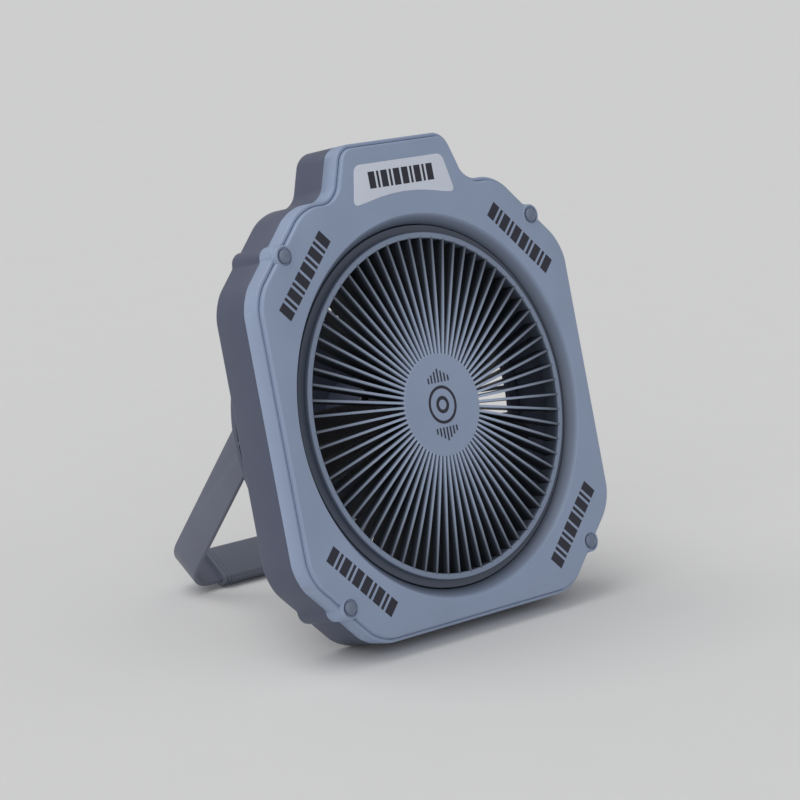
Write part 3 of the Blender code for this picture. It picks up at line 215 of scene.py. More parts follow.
def colour_drift(material, dark, light, scale, stretch=(1, 1, 1)):
    nodes, links = material.node_tree.nodes, material.node_tree.links
    ramp = nodes.new("ShaderNodeValToRGB")
    ramp.color_ramp.elements[0].position = DARK_END
    ramp.color_ramp.elements[0].color = (*dark, 1.0)
    ramp.color_ramp.elements[1].position = LIGHT_END
    ramp.color_ramp.elements[1].color = (*light, 1.0)
    links.new(noise_on(material, scale, stretch=stretch), ramp.inputs["Fac"])
    links.new(ramp.outputs["Color"], nodes["Principled BSDF"].inputs["Base Color"])


def gloss_drift(material, low, high, scale, stretch=(1, 1, 1)):
    nodes, links = material.node_tree.nodes, material.node_tree.links
    spread = nodes.new("ShaderNodeMapRange")
    spread.inputs["From Min"].default_value = DARK_END
    spread.inputs["From Max"].default_value = LIGHT_END
    spread.inputs["To Min"].default_value = low
    spread.inputs["To Max"].default_value = high
    links.new(noise_on(material, scale, stretch=stretch), spread.inputs["Value"])
    links.new(spread.outputs["Result"], nodes["Principled BSDF"].inputs["Roughness"])


def grain_bump(material, scale, strength, distance, stretch=(1, 1, 1)):
    nodes, links = material.node_tree.nodes, material.node_tree.links
    bump = nodes.new("ShaderNodeBump")
    bump.inputs["Strength"].default_value = strength
    bump.inputs["Distance"].default_value = distance
    links.new(noise_on(material, scale, detail=2.0, stretch=stretch), bump.inputs["Height"])
    links.new(bump.outputs["Normal"], nodes["Principled BSDF"].inputs["Normal"])


def moulded(name, colour, roughness, drift=0.05, grain=0.25, grain_scale=1500.0):
    """Satin moulded plastic: colour and gloss drift in clouds, over a fine mould texture."""
    material = start_finish(name, roughness)
    dark = [channel * (1 - drift) for channel in colour]
    light = [channel * (1 + drift) for channel in colour]
    colour_drift(material, dark, light, DRIFT_SCALE)
    gloss_drift(material, roughness - GLOSS_SPREAD, roughness + GLOSS_SPREAD, GLOSS_SCALE)
    grain_bump(material, grain_scale, grain, 0.00005)
    return material


def metal(name, colour, roughness, stretch=(1, 1, 1), scale=400.0):
    """Plated or turned metal: fine streaks along the way it was worked."""
    material = start_finish(name, roughness, metallic=1.0)
    dark = [channel * 0.82 for channel in colour]
    colour_drift(material, dark, colour, scale / 6, stretch)
    gloss_drift(material, roughness - 0.08, roughness + 0.10, scale, stretch)
    grain_bump(material, scale * 3, 0.12, 0.00003, stretch)
    return material


# %% [markdown]
# Deep between the vanes and in the round recess the same plastic looks almost black, because little light
# gets in and comes back out. That shade is painted into the colour as a tone that falls with depth behind
# the face: the Mapping node stands the leaning piece upright, its Y is the depth, and a limit on the
# distance to the fan's axis keeps the painted shade off the outside.

# %% Painted shade that falls with depth


def paint_shade_by_depth(material, start, end, darkest, within, middle):
    """Paint shade into the colour: multiply it down between two depths behind the rim plane, within a radius of
    the axis.
    """
    nodes, links = material.node_tree.nodes, material.node_tree.links
    shader = nodes["Principled BSDF"]
    coloured = shader.inputs["Base Color"].links[0].from_socket
    place = nodes.new("ShaderNodeTexCoord")
    upright = nodes.new("ShaderNodeMapping")
    upright.vector_type = "TEXTURE"
    upright.inputs["Location"].default_value = spin["pos_m"]
    upright.inputs["Rotation"].default_value = (-lean, 0.0, 0.0)
    links.new(place.outputs["Object"], upright.inputs["Vector"])
    apart = nodes.new("ShaderNodeSeparateXYZ")
    links.new(upright.outputs["Vector"], apart.inputs["Vector"])
    depth = nodes.new("ShaderNodeMapRange")
    depth.inputs["From Min"].default_value = start
    depth.inputs["From Max"].default_value = end
    links.new(apart.outputs["Y"], depth.inputs["Value"])
    ramp = nodes.new("ShaderNodeValToRGB")
    ramp.color_ramp.elements[0].color = (1.0, 1.0, 1.0, 1.0)
    ramp.color_ramp.elements[1].color = (darkest, darkest, darkest, 1.0)
    position, tone_there = middle
    ramp.color_ramp.elements.new(position).color = (tone_there, tone_there, tone_there, 1.0)
    links.new(depth.outputs["Result"], ramp.inputs["Fac"])
    flat = nodes.new("ShaderNodeCombineXYZ")
    links.new(apart.outputs["X"], flat.inputs["X"])
    links.new(apart.outputs["Z"], flat.inputs["Y"])
    radius = nodes.new("ShaderNodeVectorMath")
    radius.operation = "LENGTH"
    links.new(flat.outputs["Vector"], radius.inputs[0])
    outside = nodes.new("ShaderNodeMath")
    outside.operation = "GREATER_THAN"
    outside.inputs[1].default_value = within
    links.new(radius.outputs["Value"], outside.inputs[0])
    tone = nodes.new("ShaderNodeMath")
    tone.operation = "MAXIMUM"
    links.new(ramp.outputs["Color"], tone.inputs[0])
    links.new(outside.outputs["Value"], tone.inputs[1])
    shaded = nodes.new("ShaderNodeMix")
    shaded.data_type = "RGBA"
    shaded.blend_type = "MULTIPLY"
    shaded.inputs["Factor"].default_value = 1.0
    # Inputs 6 and 7 and output 2 are the node's colour sockets.
    links.new(coloured, shaded.inputs[6])
    links.new(tone.outputs["Value"], shaded.inputs[7])
    links.new(shaded.outputs[2], shader.inputs["Base Color"])
    return material


# %% The finishes
FACE_COLOUR = (0.300, 0.372, 0.525)
# The ribs are the grille's own plastic; their lighter colour is a painted highlight on their front edges.
RIB_COLOUR_WITH_PAINTED_HIGHLIGHT = (0.390, 0.470, 0.630)
CONE_REACH = 0.1149
GRILLE_REACH = 0.2
finishes = {
    "bezel_plastic": moulded("blue_grey_plastic", FACE_COLOUR, 0.44),
    "housing_plastic": moulded("slate_plastic", (0.092, 0.106, 0.162), 0.44),
    "plate_plastic": moulded("pale_plate_plastic", (0.70, 0.75, 0.86), 0.30, 0.02, 0.08),
    "impeller_plastic": moulded("dark_impeller_plastic", (0.050, 0.050, 0.056), 0.40, 0.10),
    "stand_metal": moulded("slate_powder_coat", (0.150, 0.163, 0.218), 0.42, 0.06, 0.45, 900.0),
    "grip_rubber": moulded("dark_rubber", (0.170, 0.186, 0.235), 0.58, 0.08, 0.5, 1100.0),
    "steel": metal("zinc_plated_steel", (0.55, 0.56, 0.58), 0.34),
    "bronze": metal("sintered_bronze", (0.60, 0.42, 0.20), 0.42),
    "motor_metal": metal("drawn_motor_can", (0.45, 0.46, 0.48), 0.36, (1, 0.05, 1)),
    "magnet": moulded("sintered_ferrite", (0.060, 0.060, 0.066), 0.58, 0.20, 0.6, 700.0),
    "copper": metal("wound_copper", (0.72, 0.36, 0.18), 0.36, (1, 0.1, 1), 900.0),
    "board_green": moulded("green_solder_mask", (0.030, 0.160, 0.070), 0.34, 0.16, 0.2, 500.0),
    "cell_wrap": moulded("blue_cell_wrap", (0.060, 0.180, 0.420), 0.30, 0.05, 0.15, 300.0),
    "tray_plastic": moulded("black_tray_plastic", (0.030, 0.030, 0.034), 0.52, 0.10),
    "lens_plastic": moulded("frosted_lens", (0.72, 0.76, 0.80), 0.26, 0.03, 0.1),
}
# The shell and the grille ring carry painted shade: their colour darkens with depth in the cone of the opening and
# on the ledge behind the grille rim.
shell_plastic_painted_shade = paint_shade_by_depth(moulded("shell_plastic_painted_shade", FACE_COLOUR, 0.44), start=-0.0030, end=0.0040,
                              darkest=0.30, within=CONE_REACH, middle=(0.35, 0.55))
grille_plastic_painted_shade = paint_shade_by_depth(moulded("grille_plastic_painted_shade", FACE_COLOUR, 0.44), start=-0.0006, end=0.0030,
                               darkest=0.26, within=GRILLE_REACH, middle=(0.30, 0.55))
# The ribs' finish paints shade down their sides, near black between the vanes, and keeps the painted highlight on
# their front edges.
rib_plastic_painted_light = paint_shade_by_depth(moulded("rib_plastic_painted_light", RIB_COLOUR_WITH_PAINTED_HIGHLIGHT, 0.40), start=-0.0019, end=0.0036,
                            darkest=0.035, within=GRILLE_REACH, middle=(0.42, 0.10))
cap_plastic = moulded("cap_plastic", (0.165, 0.205, 0.285), 0.26, 0.05, 0.10)
dark_print = moulded("navy_print", (0.020, 0.020, 0.036), 0.50, 0.12, 0.15)
for slot_name, finish in finishes.items():
    finish.name = slot_name + "_finish"
print("finishes:", len(finishes))

# %% Give each CAD node its finish
for part in frame["record"]["subparts"]:
    node = frame["nodes"][part["node"]]
    node.data.materials.clear()
    node.data.materials.append(finishes[part["material_slot"]])

# %% [markdown]
# ## Workbench
# A few helpers stand for what a hand does all the time: put the last piece down, draw a line by extruding a
# point, turn a profile about the fan's axis, cut one piece with another, and round an edge with a Bevel
# modifier.

# %% Helpers for drawing
MERGE = 0.000002
ON_PLANE = 0.00001


def put_down():
    if bpy.context.mode != "OBJECT":
        bpy.ops.object.mode_set(mode="OBJECT")
    bpy.ops.object.select_all(action="DESELECT")


def pick_up(*pieces):
    put_down()
    for piece in pieces:
        piece.select_set(True)
    bpy.context.view_layer.objects.active = pieces[0]


def edit(piece):
    """Open one piece in edit mode."""
    pick_up(piece)
    bpy.ops.object.mode_set(mode="EDIT")


def pull(step):
    """In edit mode, extrude the selection along step."""
    bpy.ops.mesh.extrude_region_move(TRANSFORM_OT_translate={"value": step})


def draw_line(name, points):
    """A chain of edges through the points, left in edit mode. It starts as a plane merged to one vertex."""
    put_down()
    bpy.ops.mesh.primitive_plane_add(size=0.001, location=points[0])
    piece = bpy.context.object
    piece.name = name
    piece.data.name = name
    bpy.ops.object.transform_apply(location=True, rotation=True, scale=True)
    bpy.ops.object.mode_set(mode="EDIT")
    bpy.ops.mesh.select_mode(type="VERT")
    bpy.ops.mesh.select_all(action="SELECT")
    bpy.ops.mesh.merge(type="CENTER")
    for here, there in zip(points, points[1:]):
        step = [there[axis] - here[axis] for axis in range(3)]
        pull(step)
    return piece


def draw_face(name, points):
    """A flat face with its corners at the points, left in edit mode."""
    piece = draw_line(name, points)
    bpy.ops.mesh.select_all(action="SELECT")
    bpy.ops.mesh.edge_face_add()
    return piece


def choose(kind, test):
    """In edit mode, select what has its middle where the test says, and count it."""
    bpy.ops.mesh.select_mode(type=kind)
    bpy.ops.mesh.select_all(action="DESELECT")
    mesh = bmesh.from_edit_mesh(bpy.context.object.data)
    found = 0
    for item in {"VERT": mesh.verts, "EDGE": mesh.edges, "FACE": mesh.faces}[kind]:
        corners = [item.co] if kind == "VERT" else [vertex.co for vertex in item.verts]
        if test(sum(corners, Vector()) / len(corners)):
            item.select_set(True)
            found += 1
    bmesh.update_edit_mesh(bpy.context.object.data)
    return found


def tidy(piece):
    """Merge doubles and turn every face outwards."""
    edit(piece)
    bpy.ops.mesh.select_all(action="SELECT")
    bpy.ops.mesh.remove_doubles(threshold=MERGE)
    bpy.ops.mesh.normals_make_consistent(inside=False)
    put_down()
    return piece


def extruded(name, points, step):
    """A flat face drawn through the points and pulled along step into a solid."""
    piece = draw_face(name, points)
    pull(step)
    return tidy(piece)


def turned(name, profile, steps=128, centre=(0.0, 0.0)):
    """Spin a closed (radius, depth) profile about a line along the air flow."""
    across, up = centre
    points = [(across + radius, depth, up) for radius, depth in profile]
    piece = draw_line(name, points + points[:1])
    bpy.ops.mesh.select_all(action="SELECT")
    bpy.ops.mesh.remove_doubles(threshold=MERGE)
    bpy.ops.mesh.select_all(action="SELECT")
    bpy.ops.mesh.spin(steps=steps, angle=2 * math.pi, center=(across, 0, up), axis=(0, 1, 0))
    return tidy(piece)


def turned_ring(name, inner, outer, front, back, steps):
    """A plain ring of square section about the fan's axis."""
    return turned(name, ((inner, front), (outer, front), (outer, back), (inner, back)), steps)


# %% Helpers for shaping


def apply_all(piece):
    pick_up(piece)
    for modifier in list(piece.modifiers):
        bpy.ops.object.modifier_apply(modifier=modifier.name)
    return piece


def combine(piece, operation, *others):
    """Boolean the others into the piece, then throw them away."""
    for other in others:
        modifier = piece.modifiers.new(other.name, "BOOLEAN")
        modifier.operation = operation
        modifier.solver = "EXACT"
        modifier.object = other
        apply_all(piece)
        bpy.data.objects.remove(other)
    return piece


def round_edges(piece, width, segments=2, sharper_than=35.0):
    modifier = piece.modifiers.new("round_edges", "BEVEL")
    modifier.width = width
    modifier.segments = segments
    modifier.limit_method = "ANGLE"
    modifier.angle_limit = math.radians(sharper_than)
    return apply_all(piece)


def copy_of(piece, name):
    fresh = piece.copy()
    fresh.data = piece.data.copy()
    fresh.name = name
    fresh.data.name = name
    bpy.context.scene.collection.objects.link(fresh)
    return fresh


def repeat_around(piece, count):
    """Copies of the piece about the fan's axis, joined to it."""
    put_down()
    bpy.ops.object.empty_add(location=(0, 0, 0), rotation=(0, 2 * math.pi / count, 0))
    turn = bpy.context.object
    modifier = piece.modifiers.new("around", "ARRAY")
    modifier.count = count
    modifier.use_relative_offset = False
    modifier.use_object_offset = True
    modifier.offset_object = turn
    apply_all(piece)
    bpy.data.objects.remove(turn)
    return piece


def joined(*pieces):
    pick_up(*pieces)
    bpy.ops.object.join()
    return pieces[0]


def hand_over(piece, body, slot_name, *nodes, place=LEANING, finish=None, smooth=32.0):
    """Lean the finished piece into place, give it its finish and tie it to its body."""
    pick_up(piece)
    bpy.ops.object.shade_smooth_by_angle(angle=math.radians(smooth))
    piece.data.transform(place)
    piece.data.materials.clear()
    piece.data.materials.append(finish or finishes[slot_name])
    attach(piece, body)
    if nodes:
        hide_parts(*nodes)
    print(piece.name, "faces:", len(piece.data.polygons))
    return piece


# %% [markdown]
# ## The body outline
# Both shells share one outline, so it is drawn once: the corners are joined into a flat face, a corner
# pillar stands out of each 45 degree flat, and each corner is rounded by bevelling its vertex. A drawn face
# is quicker to change than a block cut down to shape.

# %% Corners of the outline
SAME_CORNER = 0.0002
cut = CORNER_FLAT * math.sqrt(2)


def pillar_arc(across, up, steps=12):
    spread = math.acos((CORNER_FLAT - PILLAR * math.sqrt(2)) / PILLAR_RADIUS)
    middle = math.atan2(up, across)
    turns = [middle - spread + 2 * spread * step / steps for step in range(steps + 1)]
    return [(across * PILLAR + PILLAR_RADIUS * math.cos(turn),
             up * PILLAR + PILLAR_RADIUS * math.sin(turn)) for turn in turns]


def outline_corners():
    half = [(cut - UNDERSIDE, -UNDERSIDE)] + pillar_arc(1, -1) + [(HALF_WIDTH, HALF_WIDTH - cut)]
    half += [(HALF_WIDTH, cut - HALF_WIDTH)] + pillar_arc(1, 1)
    half += [(cut - SHOULDER, SHOULDER), (HUMP_FOOT, SHOULDER), (HUMP_TOP, TOP)]
    return half + [(-across, up) for across, up in reversed(half)]


def body_face(name, depth, inset=0.0):
    """The body's outline as one face at this depth, moved in by inset, left in edit mode."""
    piece = draw_face(name, [(across, depth, up) for across, up in outline_corners()])
    # Width of each rounding, its segments, and the corners of the right half that it goes on.
    groups = (
        (0.0116, 9, [(cut - UNDERSIDE, -UNDERSIDE), (HALF_WIDTH, HALF_WIDTH - cut),
                     (HALF_WIDTH, cut - HALF_WIDTH), (cut - SHOULDER, SHOULDER)]),
        (0.0088, 9, [(HUMP_FOOT, SHOULDER)]),
        (0.0082, 10, [(HUMP_TOP, TOP)]),
        (0.0010, 3, [pillar_arc(1, side)[end] for side in (-1, 1) for end in (0, -1)]),
    )
    for offset, segments, places in groups:
        def near(point, places=places):
            return any(math.hypot(abs(point.x) - across, point.z - up) < SAME_CORNER for across, up in places)
        choose("VERT", near)
        bpy.ops.mesh.bevel(offset=offset, offset_type="OFFSET", segments=segments, affect="VERTICES")
    choose("FACE", lambda point: True)
    if inset:
        bpy.ops.mesh.inset(thickness=inset, use_even_offset=True)
        bpy.ops.mesh.select_all(action="INVERT")
        bpy.ops.mesh.delete(type="FACE")
        bpy.ops.mesh.select_all(action="SELECT")
    return piece


def body_block(name, front, back, inset=0.0):
    piece = body_face(name, back, inset)
    pull((0, front - back, 0))
    return tidy(piece)


# %% [markdown]
# ## Front shell
# The front shell is a moulded tray: a flat face, a thin dark line round its foot, and a rounded band that
# runs back to the parting line. The block is drawn out to the band, then the face is inset, pushed back for
# the line and pulled forward again. Bevels go on while each edge is still easy to pick. A lathe-turned
# cutter opens the middle as a shallow cone that leads down to a lip.

# %% Block, band and face
front_shell = body_block("front_shell", 0.0, PARTING)
edit(front_shell)
choose("EDGE", lambda point: abs(point.y) < ON_PLANE)
bpy.ops.mesh.bevel(offset=BAND_ROUND, segments=4, affect="EDGES")
choose("FACE", lambda point: abs(point.y) < ON_PLANE)
bpy.ops.mesh.inset(thickness=FACE_INSET - BAND_ROUND - GROOVE_WIDTH + GROOVE_FOOT, use_even_offset=True)
pull((0, GROOVE_DEPTH, 0))
bpy.ops.mesh.inset(thickness=GROOVE_WIDTH, use_even_offset=True)
pull((0, FACE - GROOVE_DEPTH, 0))
choose("EDGE", lambda point: abs(point.y - FACE) < ON_PLANE)
bpy.ops.mesh.bevel(offset=FACE_ROUND, segments=4, affect="EDGES")
put_down()
print("front shell faces so far:", len(front_shell.data.polygons))

# %% Hollow, opening and pockets
PAST = 0.001
CUT_START = 0.002
WITHIN_BORE = 0.090
CONE_OUTSIDE = 0.1146
LIP_THICK = 0.0024
BEHIND_LIP = 0.1120
OPENING_BACK = 0.012
POCKET_RADIUS = 0.0053
POCKET_FLOOR = FACE + 0.0009
hollow = body_block("shell_hollow", FACE + WALL, PARTING + PAST, FACE_INSET + WALL)
combine(hollow, "DIFFERENCE", turned_ring("collar", WITHIN_BORE, CONE_OUTSIDE, -0.01, 0.02, 96))
combine(front_shell, "DIFFERENCE", hollow)
slope = (CONE_RADIUS - LIP_RADIUS) / (LIP_DEPTH - FACE)
opening = turned("opening", ((0.0, FACE - CUT_START), (CONE_RADIUS + slope * CUT_START, FACE - CUT_START),
                             (LIP_RADIUS, LIP_DEPTH), (LIP_RADIUS, LIP_DEPTH + LIP_THICK),
                             (BEHIND_LIP, LIP_DEPTH + LIP_THICK), (BEHIND_LIP, OPENING_BACK),
                             (0.0, OPENING_BACK)), 160)
combine(front_shell, "DIFFERENCE", opening)
for across in (-1, 1):
    for up in (-1, 1):
        place = (across * PILLAR, up * PILLAR)
        raised = turned("raised_rim", ((0.0, FACE - 0.0003), (0.0061, FACE - 0.0003), (0.0065, FACE),
                                       (0.0066, FACE + 0.0005), (0.0067, 0.0004), (0.0, 0.0004)), 56, place)
        combine(front_shell, "UNION", raised)
        pocket = turned("pocket", ((0.0, FACE - PAST), (POCKET_RADIUS + 0.0003, FACE - PAST),
                                   (POCKET_RADIUS, FACE + 0.0002), (POCKET_RADIUS, POCKET_FLOOR),
                                   (0.0, POCKET_FLOOR)), 56, place)
        combine(front_shell, "DIFFERENCE", pocket)

# %% [markdown]
# The label plate sits in a shallow recess in the hump. Its top is straight, its sides flare outwards, and
# its lower edge is an arch that follows the round opening under it.

# %% Recess and label plate
PLATE_TOP = 0.1475
PLATE_FOOT = 0.1232
PLATE_TOP_HALF = 0.0362
PLATE_FOOT_HALF = 0.0420
PLATE_ROUND = 0.0042
ARCH_HALF = 0.0365
ARCH_RISE = 0.0050
ARCH_STEPS = 12
PLATE_GAP = 0.0004
RECESS_DEPTH = 0.0011
PLATE_THICK = 0.0009
PLATE_PROUD = 0.0001


def plate_face(name, depth, grow=0.0):
    corners = [(PLATE_FOOT_HALF, PLATE_FOOT), (PLATE_TOP_HALF, PLATE_TOP), (-PLATE_TOP_HALF, PLATE_TOP),
               (-PLATE_FOOT_HALF, PLATE_FOOT)]
    arch = []
    for step in range(1, ARCH_STEPS):
        share = step / ARCH_STEPS
        rise = ARCH_RISE * math.sin(math.pi * share) ** 0.8
        arch.append((ARCH_HALF * (2 * share - 1), PLATE_FOOT + rise))
    piece = draw_face(name, [(across, depth, up) for across, up in corners + arch])
    choose("VERT", lambda point: abs(point.x) > 0.030 and (point.z > 0.140 or abs(point.x) > 0.0415))
    bpy.ops.mesh.bevel(offset=PLATE_ROUND, segments=6, affect="VERTICES")
    choose("FACE", lambda point: True)
    if grow:
        bpy.ops.mesh.inset(thickness=grow, use_even_offset=True, use_outset=True)
        bpy.ops.mesh.select_all(action="SELECT")
        bpy.ops.mesh.dissolve_faces()
    return piece


recess = plate_face("plate_recess", FACE - CUT_START, PLATE_GAP)
pull((0, CUT_START + RECESS_DEPTH, 0))
combine(front_shell, "DIFFERENCE", tidy(recess))
round_edges(front_shell, MOULD_EDGE, 2, 42.0)
# The front shell's finish paints shade into the cone and lip of the opening.
hand_over(front_shell, "housing", "bezel_plastic", "front_bezel", finish=shell_plastic_painted_shade)

label_plate = plate_face("label_plate", FACE + PLATE_THICK - PLATE_PROUD)
pull((0, -PLATE_THICK, 0))
tidy(label_plate)
round_edges(label_plate, 0.0003, 3, 42.0)
hand_over(label_plate, "housing", "plate_plastic", "name_plate")

# %% [markdown]
# ## Screw caps
# Four domed caps hide the screws that hold the two shells together. One pattern is turned from a quarter
# round, the four caps are copies of it, and the pattern is thrown away.

# %% Caps
CAP_RADIUS = 0.0042
CAP_EDGE = 0.0003
CAP_DOME = 0.0027
CAP_STEPS = 8
cap_base = POCKET_FLOOR - SEAM
cap_profile = [(0.0, cap_base), (CAP_RADIUS, cap_base), (CAP_RADIUS, cap_base - CAP_EDGE)]
for step in range(1, CAP_STEPS + 1):
    turn = math.pi / 2 * step / CAP_STEPS
    cap_profile.append((CAP_RADIUS * math.cos(turn), cap_base - CAP_EDGE - CAP_DOME * math.sin(turn)))
cap_profile[-1] = (0.0, cap_profile[-1][1])
first_cap = turned("cap_pattern", cap_profile, 48)
for corner, (across, up) in CORNERS.items():
    cap = copy_of(first_cap, "cap_" + corner)
    cap.data.transform(Matrix.Translation((across * PILLAR, 0, up * PILLAR)))
    hand_over(cap, "housing", "bezel_plastic", "screw_cap_" + corner, finish=cap_plastic)
bpy.data.objects.remove(first_cap)

# %% [markdown]
# ## Front grille
# The grille turns out for cleaning. Its 68 ribs are straight vanes, thin seen from the front and 10 mm
# deep, so light only catches their rounded front edges. Their edges bow forward towards the hub. One rib is
# drawn from the side, extruded to its width and repeated about the axis, and the rim is turned.

# %% Ribs


def bow(radius):
    return -DOME * (1 - (radius / GRILLE_RADIUS) ** 2)


RIB_STEPS = 8
RIB_ROUND = 0.00045
rib_from = HUB_RADIUS - 0.0020
rib_to = GRILLE_RADIUS + 0.0010
edge = []
for step in range(RIB_STEPS + 1):
    radius = rib_from + (rib_to - rib_from) * step / RIB_STEPS
    edge.append((radius, bow(min(radius, GRILLE_RADIUS)), -RIB_WIDTH / 2))
edge += [(rib_to, VANE_DEPTH, -RIB_WIDTH / 2), (rib_from, VANE_DEPTH, -RIB_WIDTH / 2)]
rib = extruded("grille_ribs", edge, (0, 0, RIB_WIDTH))
edit(rib)
choose("EDGE", lambda point: (point.y < 0.0001 and abs(point.z) > RIB_WIDTH * 0.4
                              and rib_from + 0.001 < point.x))
bpy.ops.mesh.bevel(offset=RIB_ROUND, segments=2, affect="EDGES")
put_down()
repeat_around(rib, RIB_COUNT)

# %% Rim and hub seat
SEAT_BORE = 0.008
SEAT_RADIUS = HUB_RADIUS - 0.0006
rim = turned("grille_rim", ((GRILLE_RADIUS, 0.0004), (GRILLE_RADIUS + 0.0004, 0.0),
                            (RIM_RADIUS - 0.0005, 0.0), (RIM_RADIUS, 0.0005), (RIM_RADIUS, LEDGE_DEPTH),
                            (LEDGE_RADIUS - 0.0003, LEDGE_DEPTH), (LEDGE_RADIUS, LEDGE_DEPTH + 0.0003),
                            (LEDGE_RADIUS, LEDGE_DEPTH + 0.0022), (RIM_RADIUS - 0.001, LEDGE_DEPTH + 0.0032),
                            (RIM_RADIUS - 0.001, VANE_DEPTH), (GRILLE_RADIUS, VANE_DEPTH)), 192)
seat_front = bow(HUB_RADIUS) + 0.0014
seat = turned_ring("hub_seat", SEAT_BORE, SEAT_RADIUS, seat_front, VANE_DEPTH, 96)
ring_part = joined(rim, seat)
ring_part.name = "grille_ring"
# The grille ring's finish paints shade that deepens behind the rim.
hand_over(ring_part, "grille", "bezel_plastic", finish=grille_plastic_painted_shade)
# The ribs' finish carries a painted highlight on their front edges and painted shade down their sides.
hand_over(rib, "grille", "bezel_plastic", "front_grille", finish=rib_plastic_painted_light)

# %% Hub disc
hub_front = bow(HUB_RADIUS) - 0.0001
hub_disc = turned("hub_disc", ((0.0, hub_front), (HUB_RADIUS - 0.0006, hub_front),
                               (HUB_RADIUS - 0.0002, hub_front + 0.0002), (HUB_RADIUS, hub_front + 0.0006),
                               (HUB_RADIUS, seat_front - SEAM), (0.0, seat_front - SEAM)), 128)
hand_over(hub_disc, "grille", "bezel_plastic", "hub_badge", smooth=20.0)

# %% [markdown]
# ## Printed marks
# The printing on the face is replaced by plain marks of our own: a run of upright bars on each corner, a
# shorter run on the label plate, and two rings with short bars on the hub. Each is a skin of ink a
# twentieth of a millimetre thick. The bars are drawn flat and extruded, and the rings are turned.

# %% Ink helpers
INK = 0.00005
INK_GAP = 0.00001


def ink_bar(width, height, centre, angle, depth):
    """One bar of ink, turned by angle about its centre."""
    turn = Matrix.Rotation(angle, 2)
    corners = []
    for across, up in ((-width, -height), (width, -height), (width, height), (-width, height)):
        point = turn @ Vector((across / 2, up / 2))
        corners.append((centre[0] + point.x, depth, centre[1] + point.y))
    return extruded("ink", corners, (0, -INK, 0))


def ink_run(name, start, angle, widths, gap, height, depth):
    """A run of upright bars along a line that starts at start and climbs at angle."""
    bars = []
    along = 0.0
    for width in widths:
        middle = along + width / 2
        centre = (start[0] + middle * math.cos(angle), start[1] + middle * math.sin(angle))
        bars.append(ink_bar(width, height, centre, angle, depth))
        along += width + gap
    run = joined(*bars)
    run.name = name
    return run


# %% Corner marks
corner_widths = (0.0058, 0.0020, 0.0058, 0.0020, 0.0058, 0.0058, 0.0020, 0.0058, 0.0020, 0.0058)
corner_gap = 0.0017
run_length = sum(corner_widths) + corner_gap * (len(corner_widths) - 1)
MARK_RADIUS = 0.1262
for name, middle_angle in (("top_left", 135.0), ("top_right", 45.0),
                           ("bottom_left", 225.0), ("bottom_right", 315.0)):
    turn = math.radians(middle_angle)
    along = turn - math.pi / 2
    middle = (MARK_RADIUS * math.cos(turn), MARK_RADIUS * math.sin(turn))
    start = (middle[0] - run_length / 2 * math.cos(along), middle[1] - run_length / 2 * math.sin(along))
    marks = ink_run("corner_mark_" + name, start, along, corner_widths, corner_gap, 0.0105, FACE - INK_GAP)
    hand_over(marks, "housing", "bezel_plastic", finish=dark_print)

# %% Label marks
label_widths = (0.0052, 0.0018, 0.0052, 0.0018, 0.0052, 0.0052, 0.0018, 0.0052, 0.0018, 0.0052)
label_gap = 0.0016
label_length = sum(label_widths) + label_gap * (len(label_widths) - 1)
label_marks = ink_run("label_marks", (-label_length / 2, 0.1375), 0.0, label_widths, label_gap, 0.0100,
                      FACE - PLATE_PROUD - INK_GAP)
hand_over(label_marks, "housing", "plate_plastic", finish=dark_print)

# %% Hub mark
MARK_BACK = hub_front - INK_GAP
ring = turned_ring("hub_mark", 0.0096, 0.0114, MARK_BACK - INK, MARK_BACK, 72)
inner_ring = turned_ring("inner_ring", 0.0030, 0.0052, MARK_BACK - INK, MARK_BACK, 48)
hub_bars = []
for side in (-1, 1):
    for step in (-3, -2, -1, 0, 1, 2, 3):
        height = 0.0082 - 0.0016 * abs(step)
        centre = (step * 0.0027, side * (0.0134 + height / 2))
        hub_bars.append(ink_bar(0.0012, height, centre, 0.0, MARK_BACK))
hub_mark = joined(ring, inner_ring, *hub_bars)
hand_over(hub_mark, "grille", "bezel_plastic", finish=dark_print)

# %% [markdown]
# ## Rear shell
# The rear shell is a darker grey box of the same outline, with a softly rounded back edge. It is hollow,
# with a round duct through the middle for the impeller. The controls are on the back of the hump, where the
# user's thumb finds them: three buttons, a light and a covered charging port, each in its own opening.

# %% Block, cavity and duct
BACK_ROUND = 0.0028
PARTING_ROUND = 0.0005
DUCT_OUTSIDE = 0.1054
rear_shell = body_block("rear_shell", PARTING + SEAM, BACK)
edit(rear_shell)
choose("EDGE", lambda point: abs(point.y - BACK) < ON_PLANE)
bpy.ops.mesh.bevel(offset=BACK_ROUND, segments=5, affect="EDGES")
choose("EDGE", lambda point: abs(point.y - PARTING - SEAM) < ON_PLANE)
bpy.ops.mesh.bevel(offset=PARTING_ROUND, segments=2, affect="EDGES")
put_down()
cavity = body_block("cavity", PARTING - PAST, BACK - WALL, WALL)
combine(cavity, "DIFFERENCE", turned_ring("duct_wall", WITHIN_BORE, DUCT_OUTSIDE, 0.013, 0.05, 96))
combine(rear_shell, "DIFFERENCE", cavity)
bore = turned("bore", ((0.0, 0.0), (DUCT_RADIUS, 0.0), (DUCT_RADIUS, BACK - 0.001),
                       (DUCT_RADIUS + 0.001, BACK + 0.0005), (DUCT_RADIUS + 0.001, BACK + 0.01),
                       (0.0, BACK + 0.01)), 160)
combine(rear_shell, "DIFFERENCE", bore)

